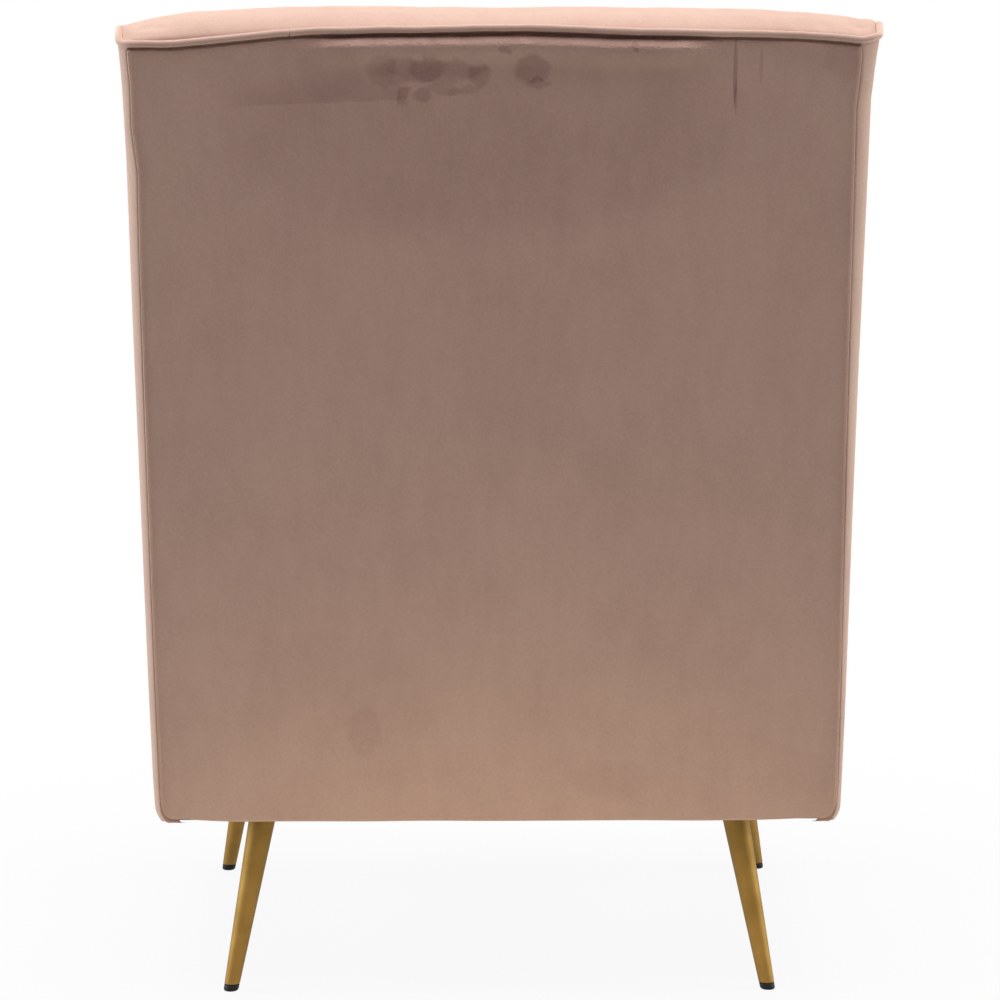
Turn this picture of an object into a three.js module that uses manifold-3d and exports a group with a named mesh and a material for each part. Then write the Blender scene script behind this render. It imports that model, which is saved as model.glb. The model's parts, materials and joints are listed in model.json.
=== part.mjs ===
// Lounge chair with a reclined back, a channelled inside back, low sloping arms and splayed legs.
// Millimetres, +Z up. The sitter faces -Y and has the left arm at +X.
// The origin is on the floor, in the middle of the chair's width and depth.

import * as THREE from 'three';
import { mergeVertices } from 'three/addons/utils/BufferGeometryUtils.js';
import Module from 'manifold-3d';

const wasm = await Module();
wasm.setup();
const { clamp, degToRad, lerp } = THREE.MathUtils;

// Fits shared by all pieces
const gap = 0.3; // left between pieces that touch
const weldLength = 0.001; // points nearer than this are one point

// Body, over the covers
const baseHeight = 162; // floor to the lower edge of the body
const backRise = 702; // up the rear face, from its lower edge to the corners of the top edge
const recline = degToRad(12.1);
const rearBaseWidth = 604;
const rearTopWidth = 626;
const frontBaseWidth = 668;
const bodyDepth = 590; // along the base, from the rear edge to the fronts of the arms
const topArch = 14; // rise of the top seam from its corners to its middle
const crownArch = 14; // the same on the crown of the roll above it
const crownPower = 6; // a high power keeps the crown level and drops it near its ends
const flareOut = 5; // how far each top corner turns out
const flareRise = 60; // height over which it does so

// Wings and arms
const rollDepth = 97; // thickness of the back at its top
const armHeight = 525; // floor to the front end of the arm
const armCornerRadius = 45;
// The ear at each top corner, as shares of the roll's depth ahead of the rear face and above the corner
const earShares = [[0, 0], [0.3, 0.055], [0.62, 0.067], [0.88, -0.14], [0.98, -0.7]];
// The slope from the ear to the arm's front, as shares of the way forward and the way down
const slopeShares = [[0.07, 0.22], [0.17, 0.51], [0.31, 0.73], [0.5, 0.87], [0.76, 0.945], [1, 1]];

// Covers and padding
const weltDiameter = 6;
const seatWeltDiameter = 5;
const sidePanelThickness = 10;
const backPanelThickness = 11.5;
const borderThickness = 12;
const panelRound = 3; // rounding of the padded panels' edges
const sideHemRise = 18; // height over which a side's lower edge rounds under
const padThickness = 28; // padding on the inner face of a wing or arm
const padRound = 20; // rounding of its inner edge
const padTopDepth = 16; // padding over the arm's frame
const padTopDrop = 74; // how far below the top corner the wing's padding stops under the roll
const coverThickness = 1.5; // black cloth under the frame
const coverRecess = 2; // how far that cloth lies above the body's lower edge
const hemWidth = 14;

// Inside back
const channelCount = 5;
const channelRise = 18; // how far a channel stands out of its seams
const seamDepthAtSeat = 108; // rear face to the seams between channels
const seamDepthAtTop = 82;
const archDrop = 112; // top seam to the centres of the channels' round ends
const rollPuff = 24; // width over which the roll swells from the round ends
const bayDepth = 78; // rear face to the ends of the wings' padding
const railCoverDepth = 30; // padding over the top rail
const rollCornerRadius = 6; // seen from above, at the rear corners
const weltJointShare = 0.8; // where the ear's welt is joined, as a share of the roll's depth

// Seat
const deckThickness = 32.6; // foam under the cushion
const seatEdgeThickness = 116; // of the cushion, at its seams
const seatCrown = 22; // how far its middle stands above them
const seatSideDraw = 4; // how far each side is drawn in between its corners
const seatCornerRadius = 30;
const seatEdgeTurn = 10; // rounding under its lower seam, and least radius of its corners
const seatSetback = 2; // how far its front lies behind the arms' fronts

// Timber frame
const timberThickness = 27;
const backTimberThickness = 30;
const railHeight = 70;
const lumbarClearance = 50; // from the seat cushion's underside up to the lumbar rail
const lumbarRailHeight = 60;
const topRailHeight = 70;
const armRailHeight = 60;
const armPostWidth = 44;
const cornerBlockLeg = 110;
const cornerBlockHeight = 40;

// Suspension
const springCount = 4;
const springHalfWaves = 13;
const springWireDiameter = 3.8;
const springWaveWidth = 50;
const springSpacing = 105;
const springCrown = 12;
const stripWidth = 20;
const stripThickness = 3;
const stripLipHeight = 6;
const springPadThickness = 8;
const webCount = 3;
const webWidth = 55;
const webSpacing = 150;
const webThickness = 1.5;

// Legs
const rearFootInset = 58; // from the base's side to the middle of the foot
const frontFootInset = 56;
const rearFootAhead = 44; // from the base's rear edge to the middle of the foot
const frontFootBehind = 26; // from the base's front edge to the middle of the foot
const sideSplay = degToRad(9);
const endSplay = degToRad(12);
const legTopDiameter = 25;
const legFootDiameter = 13.4;
const legWall = 1.5;
const legPlugDepth = 22; // solid metal at the top of the tube
const glideHeight = 6;
const glideSpigotHeight = 14;
const plateSize = 46;
const plateThickness = 3;
const plateCornerRadius = 6;
const plateHoleDiameter = 5;
const plateHoleInset = 7.5; // from the plate's edges to the middles of its corner holes
const legHoleClearance = 1.2; // round each leg, in the black cloth
const boltDiameter = 8;
const boltInLeg = 14;
const boltInBlock = 28;
const boltChamfer = 1;

// Numbers of flat faces on the curved forms
const edgeSpanSteps = 3; // along the outline of a side, from one knot to the next
const seamSteps = 34;
const hemSteps = 5;
const bevelSteps = 2;
const padBevelSteps = 3;
const weltSides = 8;
const topWeltRun = 6; // along each half of the rear edge
const weltTurnSteps = 3; // round a rear corner
const springSides = 5;
const stepsPerHalfWave = 4;
const legSides = 18;
const holeSides = 12;
const plateHoleSides = 6;
const plateTurnSteps = 2; // round a corner
const stationsPerChannel = 8;
const seatSideSteps = 8;
const seatTurnSteps = 3; // round a corner

// Sizes worked out from those above
const halfWidth = rearBaseWidth / 2;
const weltRadius = weltDiameter / 2;
const weltInset = weltRadius + gap;
const weltAcross = halfWidth + gap;
const coverAcross = weltAcross - weltRadius - 2 * gap;
const panelInset = 2 * weltInset;
const panelInnerAcross = halfWidth - sidePanelThickness;
const timberOuterAcross = panelInnerAcross - gap;
const timberInnerAcross = timberOuterAcross - timberThickness;
const padInnerAcross = timberInnerAcross - gap - padThickness;
const seatHalfWidth = padInnerAcross - gap;
const backTimberRear = backPanelThickness + gap;
const backTimberFront = backTimberRear + backTimberThickness;
const insideBackRear = backTimberFront + gap + webThickness + gap;
const coverTop = baseHeight + coverRecess + coverThickness;
const plateBottom = coverTop + gap;
const timberBottom = plateBottom + plateThickness + gap;
const railTop = timberBottom + railHeight;
const stripTop = railTop + gap + stripThickness;
const springEndHeight = stripTop + gap + springWireDiameter / 2;
const springPadBottom = springEndHeight + springCrown + springWireDiameter / 2 + gap;
const deckBottom = springPadBottom + springPadThickness + gap;
const deckHeight = deckBottom + deckThickness + gap; // floor to the underside of the seat cushion
const seatEdgeHeight = deckHeight + seatEdgeThickness;
const seatWeltInset = seatWeltDiameter / 2 + gap;
const seatSeamInset = 2 * seatWeltInset + gap;
const seatSeamHalf = seatWeltDiameter / 2 + gap;
const lowerSeamHeight = deckHeight + 2 * seatSeamHalf;
const upperSeamHeight = seatEdgeHeight - seatSeamHalf;
const frontRailFace = bodyDepth - borderThickness - gap;
const frontRailInner = frontRailFace - timberThickness;
const armPostRear = frontRailFace - armPostWidth;
const legTopHeight = plateBottom - gap;
const topRailRise = backRise - railCoverDepth;
const rollRear = weltRadius / 2 + weltInset + gap;
const padBottom = stripTop + stripLipHeight + gap;
const reach = 2 * bodyDepth; // longer than any piece, for cutting regions

// Finishes
const finishes = {
  velvet: { color: 0xb8968a, roughness: 0.85, metalness: 0 },
  velvetWelt: { color: 0xc7a596, roughness: 0.8, metalness: 0 },
  brushedBrass: { color: 0xb5863c, roughness: 0.35, metalness: 1 },
  blackPlastic: { color: 0x161616, roughness: 0.5, metalness: 0 },
  blackCambric: { color: 0x1d1d1f, roughness: 0.95, metalness: 0 },
  timber: { color: 0xc49a62, roughness: 0.7, metalness: 0 },
  plywood: { color: 0xd2ae79, roughness: 0.7, metalness: 0 },
  springSteel: { color: 0x6f7276, roughness: 0.4, metalness: 1 },
  zincSteel: { color: 0xa9adb1, roughness: 0.35, metalness: 1 },
  felt: { color: 0x8d8a84, roughness: 1, metalness: 0 },
  foam: { color: 0xe9dfb8, roughness: 0.95, metalness: 0 },
  webbing: { color: 0x3b3f45, roughness: 0.9, metalness: 0 },
};

const chair = new THREE.Group();

function addPiece(name, geometry, finish) {
  const mesh = new THREE.Mesh(geometry, new THREE.MeshStandardMaterial(finishes[finish]));
  mesh.name = name;
  chair.add(mesh);
  return mesh;
}

// Solids and booleans

function bareGeometry(positions, index) {
  const geometry = new THREE.BufferGeometry();
  geometry.setAttribute('position', new THREE.Float32BufferAttribute(positions, 3));
  geometry.setIndex(index);
  return geometry;
}

// One shared point for each corner, and no triangle that has shrunk to a line
function welded(geometry) {
  const bare = new THREE.BufferGeometry();
  bare.setAttribute('position', geometry.getAttribute('position'));
  bare.setIndex(geometry.getIndex());
  const merged = mergeVertices(bare, weldLength);
  const corners = merged.getIndex().array;
  const kept = [];
  for (let i = 0; i < corners.length; i += 3) {
    const [a, b, c] = [corners[i], corners[i + 1], corners[i + 2]];
    if (a !== b && b !== c && c !== a) kept.push(a, b, c);
  }
  merged.setIndex(kept);
  return merged;
}

function solidOf(geometry) {
  const merged = welded(geometry);
  return new wasm.Manifold(new wasm.Mesh({
    numProp: 3,
    vertProperties: new Float32Array(merged.getAttribute('position').array),
    triVerts: new Uint32Array(merged.getIndex().array),
  }));
}

function geometryOf(solid) {
  const mesh = solid.getMesh();
  return bareGeometry(Array.from(mesh.vertProperties), Array.from(mesh.triVerts));
}

function cutAway(geometry, ...cutters) {
  return geometryOf(cutters.reduce((rest, cutter) => rest.subtract(solidOf(cutter)), solidOf(geometry)));
}

function keepInside(geometry, ...regions) {
  return geometryOf(regions.reduce((rest, region) => rest.intersect(solidOf(region)), solidOf(geometry)));
}

function moved(geometry, change) {
  const positions = geometry.getAttribute('position');
  const point = new THREE.Vector3();
  for (let i = 0; i < positions.count; i += 1) {
    point.fromBufferAttribute(positions, i);
    change(point);
    positions.setXYZ(i, point.x, point.y, point.z);
  }
  return geometry;
}

function turnedInsideOut(geometry) {
  const corners = Array.from(geometry.getIndex().array);
  for (let i = 0; i < corners.length; i += 3) {
    [corners[i], corners[i + 1]] = [corners[i + 1], corners[i]];
  }
  geometry.setIndex(corners);
  return geometry;
}

function mirrored(geometry) {
  return turnedInsideOut(moved(welded(geometry), (point) => { point.x = -point.x; }));
}

function addPair(name, leftGeometry, finish) {
  addPiece(`${name}_left`, leftGeometry, finish);
  addPiece(`${name}_right`, mirrored(leftGeometry), finish);
}

// The triangles between two rings of count points, given by the numbers of their first points
function bandBetween(first, second, count) {
  return Array.from({ length: count }, (_, i) => {
    const next = (i + 1) % count;
    return [first + i, first + next, second + next, first + i, second + next, second + i];
  }).flat();
}

function facingOut(geometry) {
  return solidOf(geometry).volume() < 0 ? turnedInsideOut(geometry) : geometry;
}

// Triangles that close a ring, in the order of its points; flatten lays out a ring that isn't convex
function capOf(ring, flatten) {
  if (!flatten) return ring.slice(2).map((_, i) => [0, i + 1, i + 2]);
  const outline = ring.map(flatten);
  const triangles = THREE.ShapeUtils.triangulateShape(outline, []);
  return THREE.ShapeUtils.isClockWise(outline) ? triangles.map(([a, b, c]) => [a, c, b]) : triangles;
}

// A closed skin over rings that have as many points each
function loft(rings, flatten) {
  const count = rings[0].length;
  const last = (rings.length - 1) * count;
  const positions = rings.flat().flatMap((point) => [point.x, point.y, point.z]);
  const index = rings.slice(1).flatMap((_, ring) => bandBetween(ring * count, (ring + 1) * count, count));
  for (const [a, b, c] of capOf(rings[0], flatten)) index.push(a, c, b);
  for (const [a, b, c] of capOf(rings.at(-1), flatten)) index.push(last + a, last + b, last + c);
  return facingOut(bareGeometry(positions, index));
}

// A box between two limits on each axis; an axis left out runs past every piece
function region({ across = [-reach, reach], depth = [-reach, reach], height = [-reach, reach] }) {
  const [low, high] = [0, 1].map((end) => new THREE.Vector3(across[end], depth[end], height[end]));
  const size = high.clone().sub(low);
  const middle = low.clone().add(high).divideScalar(2);
  return new THREE.BoxGeometry(size.x, size.y, size.z).translate(middle.x, middle.y, middle.z);
}

// Places on the reclined back: ahead is square to the rear face, rise runs up it from its lower edge

function onBack(ahead, rise) {
  const y = rise * Math.sin(recline) - ahead * Math.cos(recline);
  const z = baseHeight + rise * Math.cos(recline) + ahead * Math.sin(recline);
  return new THREE.Vector2(y, z);
}

function backPoint(across, ahead, rise) {
  const place = onBack(ahead, rise);
  return new THREE.Vector3(across, place.x, place.y);
}

function backDepthAt(ahead, height) {
  return (height - baseHeight) * Math.tan(recline) - ahead / Math.cos(recline);
}

function riseAt(ahead, height) {
  return (height - baseHeight - ahead * Math.sin(recline)) / Math.cos(recline);
}

function backRegion({ across, ahead = [-reach, reach], rise = [-reach, reach] }) {
  const box = welded(region({ across, depth: ahead, height: rise }));
  return turnedInsideOut(moved(box, (point) => point.copy(backPoint(point.x, point.y, point.z))));
}

// The body widens towards the front and the top, so every piece of it is made straight and then splayed
function splayed(geometry) {
  return moved(geometry, (point) => {
    const above = point.z - baseHeight;
    const forward = above * Math.tan(recline) - point.y;
    const lean = (rearTopWidth / rearBaseWidth - 1) * above / (backRise * Math.cos(recline));
    const toe = (frontBaseWidth / rearBaseWidth - 1) * forward / bodyDepth;
    const outside = clamp((Math.abs(point.x) - panelInnerAcross) / sidePanelThickness, 0, 1);
    const flareStart = backRise * Math.cos(recline) - flareRise;
    const flare = clamp((above - flareStart) / flareRise, 0, 1);
    point.x = point.x * (1 + lean + toe) + Math.sign(point.x) * flareOut * outside * flare ** 2;
  });
}

// Outline of a side

// The top and front edge, from the rear corner to the foot of the arm's front, moved inwards by inset
function edgeRoute(inset) {
  const ear = earShares.map(([ahead, rise]) => onBack(ahead * rollDepth, backRise + rise * rollDepth));
  const earEnd = ear.at(-1);
  const armFront = new THREE.Vector2(armCornerRadius - bodyDepth, armHeight);
  const slope = slopeShares.map(([forward, down]) => new THREE.Vector2(
    lerp(earEnd.x, armFront.x, forward),
    lerp(earEnd.y, armFront.y, down),
  ));
  const middleTurn = armCornerRadius * Math.SQRT1_2;
  const corner = [
    new THREE.Vector2(armFront.x - middleTurn, armFront.y - armCornerRadius + middleTurn),
    new THREE.Vector2(-bodyDepth, armFront.y - armCornerRadius),
  ];
  const knots = [...ear, ...slope, ...corner].map((knot) => new THREE.Vector3(0, knot.x, knot.y));
  const curve = new THREE.CatmullRomCurve3(knots, false, 'centripetal');
  const steps = (knots.length - 1) * edgeSpanSteps;
  const route = curve.getPoints(steps).map((point) => new THREE.Vector2(point.y, point.z));
  route.push(new THREE.Vector2(-bodyDepth, baseHeight));
  return route.map((point, i) => {
    const arriving = point.clone().sub(route[Math.max(i - 1, 0)]).normalize();
    const leaving = route[Math.min(i + 1, route.length - 1)].clone().sub(point).normalize();
    const along = arriving.clone().add(leaving);
    const inward = new THREE.Vector2(-along.y, along.x);
    const stretch = inset * (i > 0 && i < route.length - 1 ? 2 : 1) / inward.lengthSq();
    return point.clone().addScaledVector(inward, stretch);
  });
}

function sideOutline(inset) {
  return [...edgeRoute(inset), onBack(0, 0)];
}

// An outline in depth and height, extruded across the chair, with round edges if round isn't zero
function acrossPrism(outline, [from, to], round = 0, bevelSegments = bevelSteps) {
  const geometry = new THREE.ExtrudeGeometry(new THREE.Shape(outline), {
    depth: to - from - 2 * round,
    bevelEnabled: round > 0,
    bevelThickness: round,
    bevelSize: round,
    bevelOffset: -round,
    bevelSegments,
  });
  geometry.translate(0, 0, from + round);
  const axes = new THREE.Matrix4().makeBasis(
    new THREE.Vector3(0, 1, 0),
    new THREE.Vector3(0, 0, 1),
    new THREE.Vector3(1, 0, 0),
  );
  return geometry.applyMatrix4(axes);
}

// Heights up the rear face of the top seam and of the roll's crown, at a distance from the middle

function seamRise(across) {
  return backRise + topArch * (1 - (across / coverAcross) ** 2);
}

function crownRise(across) {
  const atEnds = backRise + earShares[2][1] * rollDepth;
  return atEnds + crownArch * (1 - Math.abs(across / coverAcross) ** crownPower);
}

function roundSection(diameter, sides) {
  return new THREE.EllipseCurve(0, 0, diameter / 2, diameter / 2).getPoints(sides).slice(0, -1);
}

// A cord through the points given: a ring of points round each, set square to the cord's way there
function cordAlong(points, diameter, closed) {
  const count = points.length;
  const section = roundSection(diameter, weltSides);
  const at = (i) => (closed ? points[(i + count) % count] : points[clamp(i, 0, count - 1)]);
  const side = new THREE.Vector3();
  const rings = points.map((point, i) => {
    const along = at(i + 1).clone().sub(at(i - 1)).normalize();
    if (i === 0) side.set(-along.y, along.x, 0);
    side.addScaledVector(along, -side.dot(along)).normalize();
    const up = along.clone().cross(side);
    return section.map(({ x, y }) => point.clone().addScaledVector(side, x).addScaledVector(up, y));
  });
  if (!closed) return loft(rings);
  const positions = rings.flat().flatMap((point) => [point.x, point.y, point.z]);
  const index = rings.flatMap((_, ring) => (
    bandBetween(ring * weltSides, ((ring + 1) % count) * weltSides, weltSides)
  ));
  return facingOut(bareGeometry(positions, index));
}

// A rectangle round the origin; its corners are cut to arcs if radius isn't zero
function rectangle(width, height, radius = 0) {
  const [x, y] = [width / 2 - radius, height / 2 - radius];
  const shape = new THREE.Shape();
  if (radius === 0) {
    const corners = [[-x, -y], [x, -y], [x, y], [-x, y]];
    return shape.setFromPoints(corners.map(([a, b]) => new THREE.Vector2(a, b)));
  }
  shape.absarc(x, y, radius, 0, Math.PI / 2);
  shape.absarc(-x, y, radius, Math.PI / 2, Math.PI);
  shape.absarc(-x, -y, radius, Math.PI, 3 * Math.PI / 2);
  shape.absarc(x, -y, radius, 3 * Math.PI / 2, 2 * Math.PI);
  return shape;
}

// An outline extruded to a thickness, with its edges rounded
function paddedSlab(face, thickness) {
  const slab = new THREE.ExtrudeGeometry(face, {
    depth: thickness - 2 * panelRound,
    bevelThickness: panelRound,
    bevelSize: panelRound,
    bevelOffset: -panelRound,
    bevelSegments: bevelSteps,
  });
  return slab.translate(0, 0, panelRound);
}

// Panels of the outside

function addOutsidePanels() {
  const sideSlab = acrossPrism(sideOutline(panelInset), [panelInnerAcross, halfWidth], panelRound);
  const section = new THREE.Shape();
  const hemTop = baseHeight + sideHemRise;
  section.moveTo(panelInnerAcross, baseHeight);
  section.absellipse(panelInnerAcross, hemTop, sidePanelThickness, sideHemRise, -Math.PI / 2, 0);
  section.lineTo(halfWidth, reach);
  section.lineTo(panelInnerAcross, reach);
  const hemRoom = new THREE.ExtrudeGeometry(section, {
    depth: 2 * reach,
    bevelEnabled: false,
    curveSegments: hemSteps,
  }).rotateX(Math.PI / 2).translate(0, reach, 0);
  addPair('outside_side_panel', splayed(keepInside(sideSlab, hemRoom)), 'velvet');

  const face = new THREE.Shape();
  const edge = timberOuterAcross;
  face.moveTo(-edge, 0);
  face.lineTo(edge, 0);
  const top = Array.from({ length: seamSteps + 1 }, (_, i) => lerp(edge, -edge, i / seamSteps));
  top.forEach((across) => face.lineTo(across, seamRise(across) - weltInset));
  const panel = moved(paddedSlab(face, backPanelThickness), (point) => {
    point.copy(backPoint(point.x, point.z, point.y));
  });
  addPiece('outside_back_panel', splayed(panel), 'velvet');
}

// The inside back: one padded piece with round-ended channels, which rolls over the top rail

function channelSwell(across, rise) {
  const channelHalf = seatHalfWidth / channelCount;
  const place = Math.floor((across + seatHalfWidth) / (2 * channelHalf));
  const channel = clamp(place, 0, channelCount - 1);
  const centre = (2 * channel + 1) * channelHalf - seatHalfWidth;
  const above = Math.max(0, rise - (seamRise(across) - archDrop));
  const distance = Math.hypot(across - centre, above) / channelHalf;
  if (distance < 1) return channelRise * Math.sqrt(1 - distance ** 2);
  const outside = above > 0 ? Math.min(1, (distance - 1) * channelHalf / rollPuff) : 0;
  return channelRise * Math.sqrt(1 - (1 - outside) ** 2);
}

function insideBackSection(across) {
  const bottom = riseAt(insideBackRear, deckHeight + gap);
  const seam = seamRise(across);
  const crown = crownRise(across);
  const railCover = topRailRise + gap;
  // Places up the front face, as shares of the way from its lower edge to the top seam
  const rowShares = [0, 0.4, 0.74, 0.808, 0.83, 0.851, 0.87, 0.889, 0.908];
  const front = rowShares.map((share) => {
    const rise = lerp(bottom, seam, share);
    const seamDepth = lerp(seamDepthAtSeat, seamDepthAtTop, share);
    return [seamDepth + channelSwell(across, rise), rise];
  });
  // The roll, as shares of its depth ahead of the rear face and below its crown
  const rollShares = [[1, 0.45], [0.94, 0.22], [0.81, 0.07], [0.58, 0], [0.3, 0.015], [0.13, 0.05]];
  const roll = rollShares.map(([ahead, drop]) => [ahead * rollDepth, crown - drop * rollDepth]);
  const pastTurn = Math.max(0, Math.abs(across) - coverAcross + rollCornerRadius);
  const rear = rollRear + rollCornerRadius - Math.sqrt(rollCornerRadius ** 2 - pastTurn ** 2);
  const tuck = [
    [rear, seam],
    [rear, seam - weltInset + gap],
    [backTimberRear, seam - weltInset + gap],
    [backTimberRear, railCover],
    [insideBackRear, railCover],
    [insideBackRear, bottom],
  ];
  return [...front, ...roll, ...tuck].map(([ahead, rise]) => backPoint(across, ahead, rise));
}

function addInsideBack() {
  const channelStations = channelCount * stationsPerChannel;
  const middle = Array.from({ length: channelStations + 1 }, (_, i) => (
    lerp(-seatHalfWidth, seatHalfWidth, i / channelStations)
  ));
  // Stations beyond the channels, as shares of the way to the ends of the roll
  const endShares = [0.35, 0.65];
  const turnStart = coverAcross - rollCornerRadius;
  const ends = [
    ...endShares.map((share) => lerp(seatHalfWidth, coverAcross, share)),
    turnStart,
    turnStart + rollCornerRadius * Math.SQRT1_2,
    coverAcross,
  ];
  const stations = [...ends.map((end) => -end).reverse(), ...middle, ...ends];
  const body = loft(stations.map(insideBackSection), (point) => new THREE.Vector2(point.y, point.z));
  const panels = acrossPrism(sideOutline(panelInset - gap), [timberOuterAcross, reach]);
  const bay = backRegion({
    across: [padInnerAcross - gap, reach],
    ahead: [bayDepth, reach],
    rise: [-reach, backRise - padTopDrop],
  });
  const frame = keepInside(
    acrossPrism(sideOutline(padTopDepth - gap), [timberInnerAcross - gap, reach]),
    backRegion({ rise: [-reach, topRailRise + gap] }),
  );
  const cut = cutAway(body, panels, mirrored(panels), bay, mirrored(bay), frame, mirrored(frame));
  addPiece('inside_back_cushion', splayed(cut), 'velvet');
}

// Padding of a wing and arm, which rolls over the frame to the welt on the outer edge

function addSidePads() {
  const earEnd = (earShares.length - 1) * edgeSpanSteps;
  const corners = [onBack(0, 0), onBack(0, backRise), onBack(rollDepth, backRise)];
  const outline = [...edgeRoute(0).slice(earEnd), ...corners];
  const roll = acrossPrism(outline, [padInnerAcross, coverAcross + padRound], padRound, padBevelSteps);
  const ahead = backRegion({
    ahead: [bayDepth + gap, reach],
    rise: [-reach, backRise - padTopDrop - gap],
  });
  const body = keepInside(roll, region({ across: [0, coverAcross] }), ahead);
  const frameRoom = acrossPrism(sideOutline(padTopDepth - gap), [timberInnerAcross - gap, reach]);
  const panelRoom = acrossPrism(sideOutline(panelInset - gap), [timberOuterAcross, reach]);
  const underSeat = region({
    across: [-reach, timberInnerAcross],
    depth: [-frontRailFace - gap, reach],
    height: [-reach, padBottom],
  });
  addPair('side_pad', splayed(cutAway(body, frameRoom, panelRoom, underSeat)), 'velvet');
}

// Welts: cord in a strip of velvet, sewn into the seams

function addEdgeWelts() {
  const sideRoute = edgeRoute(weltInset).map((point) => new THREE.Vector3(weltAcross, point.x, point.y));
  const earEnd = (earShares.length - 1) * edgeSpanSteps;
  const joint = weltJointShare * rollDepth;

  // The rear run reaches the corner, turns round it and goes up the ear
  const rearAhead = weltRadius / 2;
  const turnRadius = rollCornerRadius + rollRear - rearAhead;
  const turnStart = weltAcross - turnRadius;
  const run = Array.from({ length: topWeltRun + 1 }, (_, i) => {
    const across = turnStart * i / topWeltRun;
    return backPoint(across, rearAhead, seamRise(across));
  });
  const turn = Array.from({ length: weltTurnSteps - 1 }, (_, i) => {
    const angle = (i + 1) / weltTurnSteps * Math.PI / 2;
    const across = turnStart + turnRadius * Math.sin(angle);
    return backPoint(across, rearAhead + turnRadius * (1 - Math.cos(angle)), seamRise(turnStart));
  });
  const half = [...run, ...turn, ...sideRoute.slice(1, earEnd + 1)];
  const otherHalf = half.slice(1).map((point) => new THREE.Vector3(-point.x, point.y, point.z)).reverse();
  const top = cordAlong([...otherHalf, ...half], weltDiameter, false);
  addPiece('top_welt', splayed(keepInside(top, backRegion({ ahead: [-reach, joint] }))), 'velvetWelt');

  const afterCrest = 2 * edgeSpanSteps;
  const rest = cordAlong(sideRoute.slice(afterCrest), weltDiameter, false);
  const aheadOfJoint = backRegion({ ahead: [joint + gap, reach] });
  addPair('side_welt', splayed(keepInside(rest, aheadOfJoint)), 'velvetWelt');
}

// The seat cushion, in level rings: each has round corners and sides drawn in between them

function seatRing(inset, height, draw) {
  const right = seatHalfWidth - inset;
  const front = seatSetback - bodyDepth + inset;
  const crest = seamDepthAtSeat + channelRise + gap;
  const rear = backDepthAt(crest, height) - inset;
  const radius = Math.max(seatCornerRadius - inset, seatEdgeTurn);
  const corners = [
    [right - radius, rear - radius, 0],
    [radius - right, rear - radius, Math.PI / 2],
    [radius - right, front + radius, Math.PI],
    [right - radius, front + radius, 3 * Math.PI / 2],
  ];
  const ring = [];
  const onCorner = ([x, y], angle) => (
    new THREE.Vector3(x + radius * Math.cos(angle), y + radius * Math.sin(angle), height)
  );
  corners.forEach((corner, i) => {
    const [, , start] = corner;
    for (let turn = 0; turn <= seatTurnSteps; turn += 1) {
      ring.push(onCorner(corner, start + (turn / seatTurnSteps) * Math.PI / 2));
    }
    const next = corners[(i + 1) % corners.length];
    const [, , nextStart] = next;
    const from = ring.at(-1);
    const to = onCorner(next, nextStart);
    const inward = new THREE.Vector3(-Math.cos(nextStart), -Math.sin(nextStart), 0);
    for (let step = 1; step < seatSideSteps; step += 1) {
      const share = step / seatSideSteps;
      ring.push(from.clone().lerp(to, share).addScaledVector(inward, draw * Math.sin(Math.PI * share)));
    }
  });
  return ring;
}

function addSeatCushion() {
  const boxing = (upperSeamHeight - lowerSeamHeight) / 2;
  const shoulder = 2 * seatSeamHalf;
  const rings = [
    [seatSeamInset + seatEdgeTurn, deckHeight],
    [seatSeamInset, lowerSeamHeight - seatSeamHalf],
    [seatSeamInset, lowerSeamHeight + seatSeamHalf],
    [seatSeamInset / 4, lowerSeamHeight + shoulder],
    [0, lowerSeamHeight + boxing],
    [seatSeamInset / 4, upperSeamHeight - shoulder],
    [seatSeamInset, upperSeamHeight - seatSeamHalf],
    [seatSeamInset, upperSeamHeight + seatSeamHalf],
  ];
  // The crowned top, as shares of the half width inwards and of the crown's height
  const topShares = [[0.06, 0.3], [0.18, 0.62], [0.38, 0.87], [0.62, 0.98], [0.8, 1]];
  const topRings = topShares.map(([inward, up]) => [
    seatSeamInset + inward * seatHalfWidth,
    seatEdgeHeight + up * seatCrown,
  ]);
  const skin = [...rings, ...topRings].map(([inset, height]) => seatRing(inset, height, seatSideDraw));
  addPiece('seat_cushion', splayed(loft(skin, (point) => new THREE.Vector2(point.x, point.y))), 'velvet');

  const seams = [['seat_welt_upper', upperSeamHeight], ['seat_welt_lower', lowerSeamHeight]];
  for (const [name, height] of seams) {
    const loop = cordAlong(seatRing(seatWeltInset, height, seatSideDraw), seatWeltDiameter, true);
    addPiece(name, splayed(loop), 'velvetWelt');
  }
}

function addFrontBorder() {
  const height = deckHeight - gap - baseHeight;
  const slab = moved(paddedSlab(rectangle(2 * seatHalfWidth, height), borderThickness), (point) => {
    point.set(point.x, borderThickness - bodyDepth - point.z, baseHeight + height / 2 + point.y);
  });
  addPiece('front_border', splayed(slab), 'velvet');
}

// Timber frame

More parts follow.
